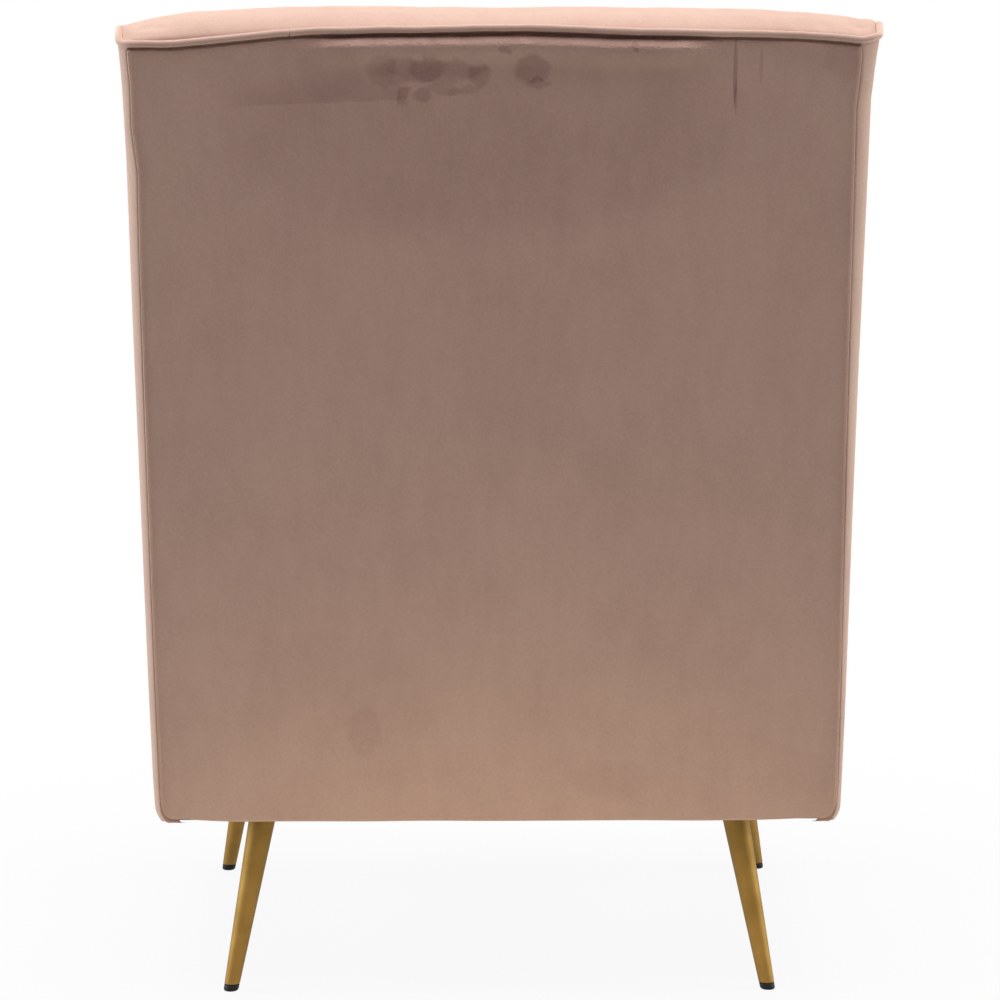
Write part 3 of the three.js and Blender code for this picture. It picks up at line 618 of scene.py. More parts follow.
@dataclass(frozen=True)
class Cellular(Finish):
    """Foam or felt: a soft body full of small pores."""

    shade: Colour
    pore: float

    def sockets(self, graph: ShaderGraph, place: Wire) -> dict[str, Any]:
        """Gives the shader's values and wires.

        Args:
            graph: The material's graph.
            place: The object's own coordinates.

        Returns:
            The values and wires, by socket.
        """
        cells = graph.node("ShaderNodeTexVoronoi", None, {"Vector": place, "Scale": 1 / self.pore})
        fibre = graph.noise(place, 400.0, 4.0, 0.7)
        return {
            "Base Color": graph.mix(cells.step(0.1, 0.6) * 0.6 + fibre * 0.4, self.shade, self.colour),
            "Roughness": 1.0,
            "Normal": graph.bump(cells, 0.5 * MM, 0.6),
        }


# Meshes


class Skin:
    """Gathers patches of faces into one closed mesh."""

    def __init__(self, name: str) -> None:
        """Starts an empty skin for a piece of that name.

        Args:
            name: The piece's name.
        """
        self.name = name
        self.points: list[Points] = []
        self.faces: list[tuple[int, ...]] = []
        self.count = 0

    def _add(self, points: Points) -> np.ndarray:
        """Adds points and gives their numbers, in the same arrangement.

        Args:
            points: Points in any arrangement.

        Returns:
            Their numbers.
        """
        numbers = self.count + np.arange(points[..., 0].size).reshape(points.shape[:-1])
        self.points.append(points.reshape(-1, 3))
        self.count += numbers.size
        return numbers

    def add_grid(self, grid: Points) -> None:
        """Adds the quads of a grid of points.

        Args:
            grid: Rows and columns of points.
        """
        at = self._add(grid)
        quads = np.stack([at[:-1, :-1], at[:-1, 1:], at[1:, 1:], at[1:, :-1]], axis=-1)
        self.faces.extend(map(tuple, quads.reshape(-1, 4).tolist()))

    def add_wall(self, fine: Points, coarse: Points) -> None:
        """Joins an edge to another with fewer points, each of which stands for a run of the first.

        Args:
            fine: The points of the fine edge.
            coarse: Those of the coarse one, from the same end.
        """
        many, few = self._add(fine), self._add(coarse)
        stride = (len(fine) - 1) // (len(coarse) - 1)
        half = stride // 2
        for k in range(len(coarse) - 1):
            run = many[k * stride:(k + 1) * stride + 1]
            for j in range(stride):
                near = few[k] if j < half else few[k + 1]
                self.faces.append((int(run[j]), int(run[j + 1]), int(near)))
            self.faces.append((int(run[half]), int(few[k + 1]), int(few[k])))

    @classmethod
    def shell(cls, name: str, front: Points, back: Points, stride: int) -> "Skin":
        """Makes a slab: a fine front, a coarse back, and the walls between their four edges.

        Args:
            name: The piece's.
            front: A grid of points.
            back: As many points behind them.
            stride: The back keeps one row and column in this many.

        Returns:
            The skin.
        """
        skin = cls(name)
        coarse = back[::stride, ::stride]
        skin.add_grid(front)
        skin.add_grid(coarse)
        for edge in (0, -1, (slice(None), 0), (slice(None), -1)):
            skin.add_wall(front[edge], coarse[edge])
        return skin

    @classmethod
    def loft(cls, name: str, rings: Sequence[Points]) -> "Skin":
        """Makes the skin over closed rings, with its two ends closed by fans.

        Args:
            name: The piece's.
            rings: Rings of as many points each, given once round.

        Returns:
            The skin.
        """
        skin, rings = cls(name), np.array(rings)
        skin.add_grid(np.concatenate([rings, rings[:, :1]], axis=1))
        for ring in (rings[0], rings[-1]):
            at = skin._add(np.concatenate([ring, ring.mean(axis=0, keepdims=True)]))
            hub = int(at[-1])
            for a, b in zip(at[:-1], np.roll(at[:-1], -1)):
                skin.faces.append((int(a), int(b), hub))
        return skin

    def piece(self, material: Material, slot: str, weld: float = 0.01 * MM) -> Piece:
        """Makes the piece: its doubles merged, its faces turned out and its shading smooth.

        Args:
            material: Its finish.
            slot: The record's material slot that it stands for; it is not used.
            weld: Points nearer than this are one point.

        Returns:
            The piece, riding on the chair.
        """
        mesh = bpy.data.meshes.new(self.name)
        mesh.from_pydata(np.concatenate(self.points).tolist(), [], self.faces)
        work = bmesh.new()
        work.from_mesh(mesh)
        bmesh.ops.remove_doubles(work, verts=work.verts, dist=weld)
        bmesh.ops.dissolve_degenerate(work, edges=work.edges, dist=weld)
        bmesh.ops.recalc_face_normals(work, faces=work.faces)
        work.to_mesh(mesh)
        work.free()
        return finished(mesh, material)


def linked(name: str, data: bpy.types.ID) -> Piece:
    """Puts a new object with that data in the scene.

    Args:
        name: What it is called.
        data: Its mesh, lamp or camera.

    Returns:
        The object.
    """
    made = bpy.data.objects.new(name, data)
    bpy.context.scene.collection.objects.link(made)
    return made


def shown_mesh(piece: Piece) -> bpy.types.Mesh:
    """Makes a mesh of what a piece's modifiers show."""
    return bpy.data.meshes.new_from_object(piece.evaluated_get(bpy.context.evaluated_depsgraph_get()))


def stuffed(piece: Piece, node: str) -> Piece:
    """Hides the solid of the frame that a padded piece stands for.

    Args:
        piece: The piece.
        node: The solid.

    Returns:
        The piece.
    """
    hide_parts(node)
    return piece


def finished(mesh: bpy.types.Mesh, material: Material) -> Piece:
    """Makes a smooth piece of a mesh that is in place.

    Args:
        mesh: Named as the piece is to be.
        material: Its finish.

    Returns:
        The piece, riding on the chair.
    """
    mesh.materials.clear()
    mesh.materials.append(material)
    mesh.shade_smooth()
    piece = linked(mesh.name, mesh)
    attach(piece, "root")
    log.info("%s: %d faces", piece.name, len(mesh.polygons))
    return piece


# Curves


def spline(knots: Points, steps: int) -> Points:
    """Runs a smooth centripetal curve through knots.

    Args:
        knots: Points, one in each row; their last axis is the coordinates.
        steps: Points from one knot to the next.

    Returns:
        The curve's points, the knots among them.
    """
    ends = (2 * knots[:1] - knots[1:2], 2 * knots[-1:] - knots[-2:-1])
    padded = np.concatenate([ends[0], knots, ends[1]])
    away = np.maximum(np.linalg.norm(np.diff(padded, axis=0), axis=-1, keepdims=True), 1e-7) ** 0.5
    share = (np.arange(steps) / steps).reshape((-1,) + (1,) * (knots.ndim - 1))
    runs = []
    for i in range(len(knots) - 1):
        before, first, last, after = padded[i:i + 4]
        d0, d1, d2 = away[i:i + 3]
        leave = ((first - before) / d0 - (last - before) / (d0 + d1) + (last - first) / d1) * d1
        arrive = ((last - first) / d1 - (after - first) / (d1 + d2) + (after - last) / d2) * d1
        square = 3 * (last - first) - 2 * leave - arrive
        cube = 2 * (first - last) + leave + arrive
        runs.append(first + share * (leave + share * (square + share * cube)))
    return np.concatenate([*runs, knots[-1:]])


def lengths(line: Points) -> np.ndarray:
    """Gives the length from a line's start to each of its points."""
    return np.concatenate([[0.0], np.cumsum(np.linalg.norm(np.diff(line, axis=0), axis=-1))])


def read(line: Points, numbers: np.ndarray, wanted: np.ndarray) -> Points:
    """Gives a line's points at the wanted numbers, between those that its own points have."""
    return np.stack([np.interp(wanted, numbers, axis) for axis in line.T], axis=-1)


def strayed(waves: Sequence[Pair], across: np.ndarray) -> np.ndarray:
    """Reads at places across a table of places and heights in millimetres."""
    places, heights = np.array(waves).T * MM
    return np.interp(across, places, heights)


def spaced(points: Points, count: int) -> Points:
    """Sets count points at equal steps along a line of points."""
    along = lengths(points)
    return read(points, along, np.linspace(0, along[-1], count))


def shares(count: int, crowd_start: float = 0.0, crowd_end: float = 0.0) -> np.ndarray:
    """Gives count + 1 shares from 0 to 1, crowded towards either end.

    Args:
        count: The number of steps.
        crowd_start: From 0, even, to 1, crowded at 0.
        crowd_end: The same at 1.

    Returns:
        The shares, in order.
    """
    even = np.linspace(0, 1, count + 1)
    density = 1 + crowd_start * 8 * np.exp(-even * 22) + crowd_end * 8 * np.exp((even - 1) * 22)
    total = np.concatenate([[0.0], np.cumsum(1 / ((density[1:] + density[:-1]) / 2))])
    return total / total[-1]


def ripple(places: np.ndarray, wave: float, seed: int) -> np.ndarray:
    """Gives smooth random heights from -1 to 1 along a line.

    Args:
        places: Distances along it.
        wave: The usual distance from one crest to the next, halved.
        seed: Which of the random lines it is.

    Returns:
        The heights.
    """
    spots = np.arange(-400, 401) * wave
    heights = np.random.default_rng(seed).uniform(-1, 1, spots.size)
    cell = np.clip(np.floor(places / wave).astype(int) + 400, 0, spots.size - 2)
    share = np.clip((places - spots[cell]) / wave, 0, 1)
    blend = share * share * (3 - 2 * share)
    return heights[cell] * (1 - blend) + heights[cell + 1] * blend


def fall(value: np.ndarray, start: Numbers, end: Numbers) -> np.ndarray:
    """Gives 1 up to start, 0 from end on, and a smooth fall between them."""
    share = np.clip((end - value) / (end - start), 0, 1)
    return share * share * (3 - 2 * share)


def rounded(distance: np.ndarray, radius: float) -> np.ndarray:
    """Gives how far a quarter-round edge has dropped at a distance in from its rim."""
    left = np.clip(radius - distance, 0, radius)
    return radius - np.sqrt(radius ** 2 - left ** 2)


def tube(path: Points, radius: np.ndarray, sides: int, closed: bool = False) -> Points:
    """Sets a ring of points round each point of a path.

    Args:
        path: The points.
        radius: The tube's, at each point.
        sides: Points in each ring.
        closed: Whether the path comes back to its start.

    Returns:
        The rings.
    """
    ahead = np.roll(path, -1, axis=0) - np.roll(path, 1, axis=0)
    if not closed:
        ahead[0] = path[1] - path[0]
        ahead[-1] = path[-1] - path[-2]
    ahead /= np.linalg.norm(ahead, axis=1, keepdims=True)
    side = np.cross(ahead[0], (0.0, 0.31, 1.0))
    rings = []
    angles = np.arange(sides) / sides * 2 * math.pi
    for point, along, size in zip(path, ahead, radius):
        side = side - along * side.dot(along)
        side /= np.linalg.norm(side)
        up = np.cross(along, side)
        rings.append(point + size * (np.outer(np.cos(angles), side) + np.outer(np.sin(angles), up)))
    return np.array(rings)


# The chair's shape


class Side(Enum):
    """The sitter's two sides, by their sign along X."""

    LEFT = 1
    RIGHT = -1

    @property
    def label(self) -> str:
        """The side's name in the names of pieces."""
        return self.name.lower()


@dataclass(frozen=True)
class ChairBody:
    """The body's shape. Places on it are given straight and then splayed, as the frame's are."""

    rear: float
    gap: float = 0.3 * MM
    base: float = 162 * MM
    back_rise: float = 702 * MM
    recline: float = math.radians(12.1)
    rear_base_width: float = 604 * MM
    rear_top_width: float = 626 * MM
    front_base_width: float = 668 * MM
    depth: float = 590 * MM
    top_arch: float = 14 * MM
    crown_arch: float = 12.5 * MM
    crown_power: float = 6.0
    # The ears: how far the left and the right one flare out and stand up
    flares_out: Pair = (1.0 * MM, 3.0 * MM)
    flares_up: Pair = (-1.8 * MM, 2.2 * MM)
    flare_rise: float = 60 * MM
    roll_depth: float = 97 * MM
    arm_height: float = 525 * MM
    arm_corner: float = 45 * MM
    welt: float = 6 * MM
    side_thickness: float = 10 * MM
    crest_share: float = 0.085
    ear_shares: tuple = ((0, 0), (0.07, 0.045), (0.2, 0.09), (0.4, 0.092), (0.62, 0.066), (0.88, -0.13),
                         (0.98, -0.7))
    # How the top seam strays from its arch: places across and heights, in millimetres
    seam_waves: tuple = ((-302, 3.4), (-290, 3.4), (-280, 3.6), (-262, 3.5), (-245, 3.3), (-213, 2.6),
                         (-180, 1.1), (-148, 0.5), (-115, -0.5), (-91, -0.9), (-67, -0.4), (-18, 0.5),
                         (30, -0.3), (79, 0.2), (111, 0.6), (144, 0.9), (176, 0.7), (193, -0.7),
                         (209, -1.4), (241, -2.3), (258, -2.5), (268, -1.9), (280, -0.6),
                         (290, 0), (302, 0))
    # And how the roll's crown does
    crown_waves: tuple = ((-300, -0.8), (-294, 0.6), (-286, 0.9), (-270, 0.3), (-245, -0.9), (-164, -0.9),
                          (-83, 0), (0, 0.3), (79, 0), (160, 1), (201, 0), (241, 0), (274, -1.3),
                          (290, -2.4), (300, -1.0))
    # Where the welt turns off the rear on to an ear
    turn_across: float = 287 * MM
    turn_depth: float = 12 * MM
    turn_rise: float = 706 * MM
    welt_ahead: float = 0.8 * MM
    slope_shares: tuple = ((0.07, 0.22), (0.17, 0.51), (0.31, 0.73), (0.5, 0.87), (0.76, 0.945), (1, 1))
    span_steps: int = 12

    @property
    def half(self) -> float:
        """Half the rear width of the base."""
        return self.rear_base_width / 2

    @property
    def welt_inset(self) -> float:
        """From the outline of a side in to the middle of its welt."""
        return self.welt / 2 + self.gap

    @property
    def welt_across(self) -> float:
        """From the middle of the chair to that of a side's welt."""
        return self.half + self.gap

    @property
    def cover_across(self) -> float:
        """From the middle of the chair to the ends of its roll."""
        return self.welt_across - self.welt / 2 - self.gap

    def arch_rise(self, across: np.ndarray) -> np.ndarray:
        """Gives the height of the top seam's plain arch, up the rear face."""
        return self.back_rise + self.top_arch * (1 - (across / self.cover_across) ** 2)

    def turned(self, across: np.ndarray) -> np.ndarray:
        """Gives how far the top welt has turned at a place across: 0 at the rear, 1 on the ear."""
        share = np.clip((np.abs(across) - self.turn_across) / (self.welt_across - self.turn_across), 0, 1)
        return 1 - np.sqrt(1 - share ** 2)

    def seam_rise(self, across: np.ndarray) -> np.ndarray:
        """Gives the height of the top seam as it is sewn, up the rear face."""
        run = self.arch_rise(across) + strayed(self.seam_waves, across)
        return run + (self.turn_rise - run) * self.turned(across)

    def seam_ahead(self, across: np.ndarray) -> np.ndarray:
        """Gives how far ahead of the rear face the middle of the top welt lies."""
        return self.welt_ahead + self.turn_depth * self.turned(across)

    def crown_rise(self, across: np.ndarray) -> np.ndarray:
        """Gives the height of the roll's crown, up the rear face.

        Args:
            across: Distances from the middle plane.

        Returns:
            The heights.
        """
        ends = self.back_rise + self.crest_share * self.roll_depth
        arch = self.crown_arch * (1 - np.abs(across / self.cover_across) ** self.crown_power)
        return ends + arch + strayed(self.crown_waves, across)

    def on_back(self, ahead: np.ndarray, rise: np.ndarray) -> Points:
        """Gives depth and height at a distance ahead of the rear face and up it.

        Args:
            ahead: Distances ahead of the rear face.
            rise: Distances up it.

        Returns:
            Depths and heights.
        """
        depth = rise * math.sin(self.recline) - ahead * math.cos(self.recline)
        height = self.base + rise * math.cos(self.recline) + ahead * math.sin(self.recline)
        return np.stack(np.broadcast_arrays(depth, height), axis=-1)

    def off_back(self, flat: Points) -> tuple[np.ndarray, np.ndarray]:
        """Gives the distances ahead of the rear face and up it, at places given by depth and height.

        Args:
            flat: Depths and heights.

        Returns:
            The distances ahead, and those up.
        """
        sine, cosine = math.sin(self.recline), math.cos(self.recline)
        depth, above = flat[..., 0], flat[..., 1] - self.base
        return -depth * cosine + above * sine, depth * sine + above * cosine

    def splayed(self, across: np.ndarray, flat: Points) -> Points:
        """Splays straight places into the row frame.

        Args:
            across: Distances from the middle plane.
            flat: The same places' depth and height.

        Returns:
            The points.
        """
        depth, height = flat[..., 0], flat[..., 1]
        across = np.broadcast_to(across, depth.shape)
        above = height - self.base
        forward = above * math.tan(self.recline) - depth
        top = self.back_rise * math.cos(self.recline)
        lean = (self.rear_top_width / self.rear_base_width - 1) * above / top
        toe = (self.front_base_width / self.rear_base_width - 1) * forward / self.depth
        outside = np.clip((np.abs(across) - self.half + self.side_thickness) / self.side_thickness, 0, 1)
        flare = outside * np.clip(1 + (above - top) / self.flare_rise, 0, 1.3) ** 3
        out, up = (np.where(across > 0, left, right) for left, right in (self.flares_out, self.flares_up))
        splay = across * (1 + lean + toe) + np.sign(across) * out * flare
        return np.stack([splay, depth + self.rear, height + up * np.minimum(flare, 1)], axis=-1)

    def on_back_splayed(self, across: np.ndarray, ahead: np.ndarray, rise: np.ndarray) -> Points:
        """Gives points of the row frame by their place on the reclined back."""
        across, ahead, rise = np.broadcast_arrays(across, ahead, rise)
        return self.splayed(across, self.on_back(ahead, rise))

    def edge_route(self) -> Points:
        """Gives depth and height along a side's top and front edge, down to the base.

        Returns:
            The line's points, from the back's top corner.
        """
        ear = np.array([self.on_back(a * self.roll_depth, self.back_rise + r * self.roll_depth)
                        for a, r in self.ear_shares])
        front = np.array([self.arm_corner - self.depth, self.arm_height])
        slope = np.array([ear[-1] + (front - ear[-1]) * share for share in np.array(self.slope_shares)])
        turn = self.arm_corner * math.sqrt(0.5)
        corner = np.array([
            [front[0] - turn, front[1] - self.arm_corner + turn],
            [-self.depth, front[1] - self.arm_corner],
        ])
        curve = spline(np.concatenate([ear, slope, corner]), self.span_steps)
        down = np.linspace(curve[-1], [-self.depth, self.base], 7 * self.span_steps)
        return np.concatenate([curve, down[1:]])

    @property
    def ear_end(self) -> int:
        """The number of the edge route's point at the end of the ear."""
        return (len(self.ear_shares) - 1) * self.span_steps

    @property
    def arm_turn(self) -> int:
        """The number of its point half way round the arm's front corner."""
        return self.ear_end + (len(self.slope_shares) + 1) * self.span_steps

    def inset_route(self, inset: np.ndarray) -> Points:
        """Gives the edge route moved into the side by inset, one distance or one for each point.

        Args:
            inset: How far it moves.

        Returns:
            The line's points.
        """
        route = self.edge_route()
        ahead = np.gradient(route, axis=0)
        ahead /= np.linalg.norm(ahead, axis=1, keepdims=True)
        inward = np.stack([-ahead[:, 1], ahead[:, 0]], axis=-1)
        return route + inward * np.reshape(inset, (-1, 1))


@dataclass(frozen=True)
class RearSeam:
    """The blind-stitched seam down the rear of one side."""

    body: ChairBody
    side: Side
    # Shares of the way up, with how far the seam lies in from the side there
    insets: tuple[Pair, ...]
    # The same shares, with how far the side swells out there
    spreads: tuple[Pair, ...]
    hem_rise: float = 18 * MM

    def _read(self, table: Sequence[Pair], rise: np.ndarray) -> np.ndarray:
        """Reads one of its tables at a height above the base."""
        places, values = zip(*table)
        return np.interp(rise / self.body.back_rise, places, values)

    def hem_drop(self, rise: np.ndarray) -> np.ndarray:
        """Gives how far the side's lower edge has turned in at a height above the base."""
        left = np.clip((self.hem_rise - rise) / self.hem_rise, 0, 1)
        return self.body.side_thickness * (1 - np.sqrt(1 - left ** 2))

    def outer(self, rise: np.ndarray) -> np.ndarray:
        """Gives the distance from the middle plane to the side's face."""
        return self.body.half + self._read(self.spreads, rise) - self.hem_drop(rise)

    def inset(self, rise: np.ndarray) -> np.ndarray:
        """Gives the distance from the side's face in to the seam."""
        return self._read(self.insets, rise)

    def across(self, rise: np.ndarray) -> np.ndarray:
        """Gives the seam's place along X, before the splay."""
        return self.side.value * (self.outer(rise) - self.inset(rise))


# Covers


@dataclass
class Cover:
    """A padded velvet cover, which stands for one solid of the frame."""

    body: ChairBody
    node: ClassVar[str]
    fill: ClassVar[float] = 0.9

    @property
    def label(self) -> str:
        """What follows the node's name: nothing, or the side that the cover is on."""
        return ""

    def skin(self) -> Skin:
        """Shapes the cover."""
        raise NotImplementedError

    def build(self, material: Material) -> Piece:
        """Builds the cover.

        Args:
            material: Its velvet.

        Returns:
            The piece.
        """
        return stuffed(self.skin().piece(material, "velvet"), self.node + self.label)


@dataclass
class OutsideBack(Cover):
    """The outside back: one velvet cover, pulled up under the welt and blind-stitched down its sides."""

    node = "outside_back_panel"
    seams: Mapping[Side, RearSeam]
    columns: int = 240
    rows: int = 192
    stride: int = 8
    fold_width: float = 1.1 * MM
    fold_height: float = 1.2 * MM
    puff: float = 1.8 * MM
    band_start: float = 5 * MM
    band_drop: float = 13 * MM
    band_end: float = 36 * MM
    band_height: float = 6.4 * MM
    # Where the band is full, with how far beyond its ends it fades, and over what length
    band_reach: Pair = (-0.16, 0.14)
    band_over: float = 0.02
    band_fade: float = 0.03
    edge_round: float = 6 * MM
    base_lift: float = 1.4 * MM
    corner_lift: float = 3.6 * MM
    corner_start: float = 0.215
    corner_run: float = 0.06
    inner_face: float = 9 * MM

    def _edges(self, rise: np.ndarray) -> tuple[np.ndarray, np.ndarray]:
        """Gives where the right and the left seam are at a height."""
        return self.seams[Side.RIGHT].across(rise), self.seams[Side.LEFT].across(rise)

    def _places(self) -> tuple[np.ndarray, np.ndarray]:
        """Gives the grid's places across the back and up it.

        Returns:
            The places across, and the heights.
        """
        up = shares(self.rows, 0.5, 1.0)[:, None]
        along = shares(self.columns, 0.8, 0.8)[None, :]
        rise = up * self.body.back_rise
        right, left = self._edges(rise)
        across = right + (left - right) * along
        corner = np.clip((np.abs(across) - self.corner_start) / self.corner_run, 0, 1)
        low = self.base_lift + self.corner_lift * corner
        high = self.body.seam_rise(across) - 1 * MM
        return across, low + (high - low) * up

    def _ahead(self, across: np.ndarray, rise: np.ndarray) -> np.ndarray:
        """Gives how far ahead of the plain rear face the cover lies.

        Args:
            across: Places across the back.
            rise: Heights up it.

        Returns:
            The distances ahead.
        """
        right, left = self._edges(rise)
        edge = np.minimum(across - right, left - across)
        below = self.body.seam_rise(across) - rise
        ahead = -self.puff * (1 - np.exp(-edge / (25 * MM))) * np.clip(below / 0.06, 0, 1)
        ahead -= self.fold_height * np.exp(-((edge - self.fold_width) / (0.8 * MM)) ** 2)
        ahead += 1.6 * MM * np.clip(1 - edge / (0.6 * MM), 0, 1)
        # Under the welt the cloth is pulled in, and then it swells in a band of short folds
        low, high = self.band_reach
        full = np.clip((across - low + self.band_over) / self.band_fade, 0, 1)
        full = full * np.clip((high + self.band_over - across) / self.band_fade, 0, 1)
        folds = ripple(across + 0.5 * below, 8 * MM, 5) * 0.6
        folds = folds + ripple(across - 0.4 * below, 3.4 * MM, 6) * 0.35
        folds = folds * (0.3 + 0.7 * full) * np.exp(-((below - 11 * MM) / (7 * MM)) ** 2)
        ahead += (2.4 + 2.6 * full) * MM * fall(below, (3.4 + 1.6 * full) * MM, (6.2 + 2.4 * full) * MM)
        swell = 1 - fall(below, self.band_start, self.band_drop)
        swell = swell * fall(below, self.band_drop, self.band_end)
        ahead -= self.band_height * (0.15 + 0.85 * full) * swell + 0.9 * MM * folds
        slack = ripple(across + rise * 0.35, 60 * MM, 7) * ripple(rise - across * 0.2, 95 * MM, 8)
        ahead -= 0.8 * MM * slack
        return ahead + rounded(rise - self.base_lift, self.edge_round)

    def skin(self) -> Skin:
        """Shapes the cover.

        Returns:
            The skin.
        """
        across, rise = self._places()
        front = self.body.on_back_splayed(across, self._ahead(across, rise), rise)
        inner = self.body.on_back_splayed(across, np.full(rise.shape, self.inner_face), rise)
        return Skin.shell("outside_back_cover", front, inner, self.stride)


@dataclass
class OutsideSide(Cover):
    """A side's velvet cover, which turns under at its hem and round the corner to the rear seam."""

    node = "outside_side_panel"
    seam: RearSeam
    columns: int = 128
    rows: int = 128
    stride: int = 8
    turn_columns: int = 16
    corner_round: float = 13 * MM
    corner_share: float = 0.97
    flat_share: float = 0.5
    rim_round: float = 5 * MM
    puff: float = 2.0 * MM
    rim_reach: float = 0.03
    rear_reach: float = 0.05
    base_reach: float = 0.08
    route_inset: float = 3.4 * MM
    tuck_reach: float = 12 * MM
    tuck_depth: float = 1.9 * MM
    inner_face: float = 8 * MM

    @property
    def label(self) -> str:
        """Names the side."""
        return f"_{self.seam.side.label}"

    def _corners(self, rise: np.ndarray) -> np.ndarray:
        """Gives how far ahead the rounding of the rear corner starts at each height."""
        return np.minimum(self.corner_round, 1.5 * self.seam.inset(rise))

    def _column(
        self,
        rise: np.ndarray,
        within: np.ndarray,
        out_share: float,
        ahead_share: float,
        tucked: float = 0.0,
    ) -> Points:
        """Gives one column of points round the rear corner, whose top follows the welt.

        Args:
            rise: The heights of the side's rear edge.
            within: How far inside the corner's curve the column lies.
            out_share: How far it has gone from the side's face in to the seam.
            ahead_share: The share of the corner's depth that it lies ahead.
            tucked: How far it lies under the back's cover.

        Returns:
            The points, from the base up.
        """
        body, top = self.body, rise[-1:]
        across = self.seam.outer(top) - out_share * self.seam.inset(top)
        ahead = ahead_share * self.corner_round
        route = np.linspace(body.turn_across, body.welt_across, 60)
        away = np.hypot(route - across, body.seam_ahead(route) - ahead)
        high = body.seam_rise(self.seam.side.value * route)[np.argmin(away)] - 0.6 * MM
        up = rise * (high / top)
        across = self.seam.outer(up) - out_share * self.seam.inset(up) - within
        inner = np.clip(up / (5 * MM), 0, 1) * tucked
        depth = self._corners(up) * ahead_share - 0.3 * MM * (ahead_share > 0)
        depth = depth + rounded(up, 4 * MM) + inner
        return body.on_back_splayed(self.seam.side.value * across, depth, up)

    def _face(self) -> Points:
        """Gives the side's flat face as a grid of depths and heights, from its hem up.

        Returns:
            The grid, from the rear edge forward.
        """
        body = self.body
        route = body.inset_route(self.route_inset)
        ahead, rises = body.off_back(route)
        start = float(np.interp(self.corner_round, ahead[:40], rises[:40]))
        first = int(np.argmax(ahead > self.corner_round * 1.4))
        route = np.concatenate([body.on_back(self.corner_round, start)[None], route[first:]])
        turn = body.arm_turn - first + 1
        top = spaced(route[:turn + 1], self.columns + 1)
        front = spaced(route[turn:][::-1], self.rows + 1)
        up = shares(self.rows, 0.9, 0.6)
        rise = up * start
        rear = body.on_back(self._corners(rise), rise)
        top[0] = rear[-1]
        front = read(front, np.linspace(0, 1, self.rows + 1), up)
        along = shares(self.columns, 0.7, 0.4)
        top = read(top, np.linspace(0, 1, self.columns + 1), along)
        hem = rear[0] + (front[0] - rear[0]) * along[:, None]
        u, v = along[None, :, None], up[:, None, None]
        ruled = (1 - u) * rear[:, None] + u * front[:, None] + (1 - v) * hem[None] + v * top[None]
        corners = (1 - v) * ((1 - u) * rear[0] + u * front[0])
        corners = corners + v * ((1 - u) * rear[-1] + u * front[-1])
        return ruled - corners

    def skin(self) -> Skin:
        """Shapes the cover.

        Returns:
            The skin.
        """
        body = self.body
        face = self._face()
        above = face[..., 1] - body.base
        to_rim = np.minimum(
            np.linalg.norm(face - face[-1:], axis=-1), np.linalg.norm(face - face[:, -1:], axis=-1)
        )
        from_rear = np.linalg.norm(face - face[:, :1], axis=-1)
        swell = self.puff * (1 - np.exp(-to_rim / self.rim_reach))
        swell = swell * (1 - np.exp(-from_rear / self.rear_reach))
        swell *= np.clip(above / self.base_reach, 0, 1)
        slack = ripple(face[..., 0] + 0.4 * face[..., 1], 70 * MM, 21 + self.seam.side.value)
        slack = slack * ripple(face[..., 1], 80 * MM, 24 + self.seam.side.value)
        out = self.seam.outer(above) + swell * (1 + 0.35 * slack)
        out -= rounded(to_rim, self.rim_round) * np.clip(above / 0.02, 0, 1)
        side = self.seam.side.value
        main = body.splayed(side * out, face)

        # Round the rear corner to the seam, and on under the back's cover
        _, rise = body.off_back(face[:, 0])
        turned_in = self.seam.outer(above[:, 0]) - out[:, 0]
        rounds = []
        for angle in np.linspace(0, math.pi / 2, self.turn_columns + 1)[1:]:
            share = angle / (math.pi / 2)
            out_share = self.flat_share * share + (1 - self.flat_share) * (1 - math.cos(angle))
            ahead_share = 1 - self.flat_share * share - (1 - self.flat_share) * math.sin(angle)
            rounds.append(self._column(rise, turned_in, self.corner_share * out_share, ahead_share))
        for beyond, ahead in ((0.1, 0), (0.6, 0.8), (1.2, self.tuck_depth / MM)):
            rounds.append(self._column(rise, 0 * rise + beyond * MM, 1, 0, ahead * MM))
        rounds.append(self._column(rise, 0 * rise + self.tuck_reach, 1, 0, self.tuck_depth + 0.2 * MM))
        grid = np.concatenate([np.stack(rounds[::-1], axis=1), main], axis=1)
        spare = -(grid.shape[1] - 1) % self.stride
        grid = np.concatenate([np.repeat(grid[:, :1], spare, axis=1), grid], axis=1)

        inner = grid.copy()
        inner_across = side * (body.half - self.inner_face)
        inside = body.splayed(inner_across, face)
        inner[:, -inside.shape[1]:] = inside
        rear = body.on_back_splayed(inner_across, self.inner_face + 0 * rise, rise)
        inner[:, :-inside.shape[1]] = rear[:, None]
        return Skin.shell(f"outside_side_cover{self.label}", grid, inner, self.stride)


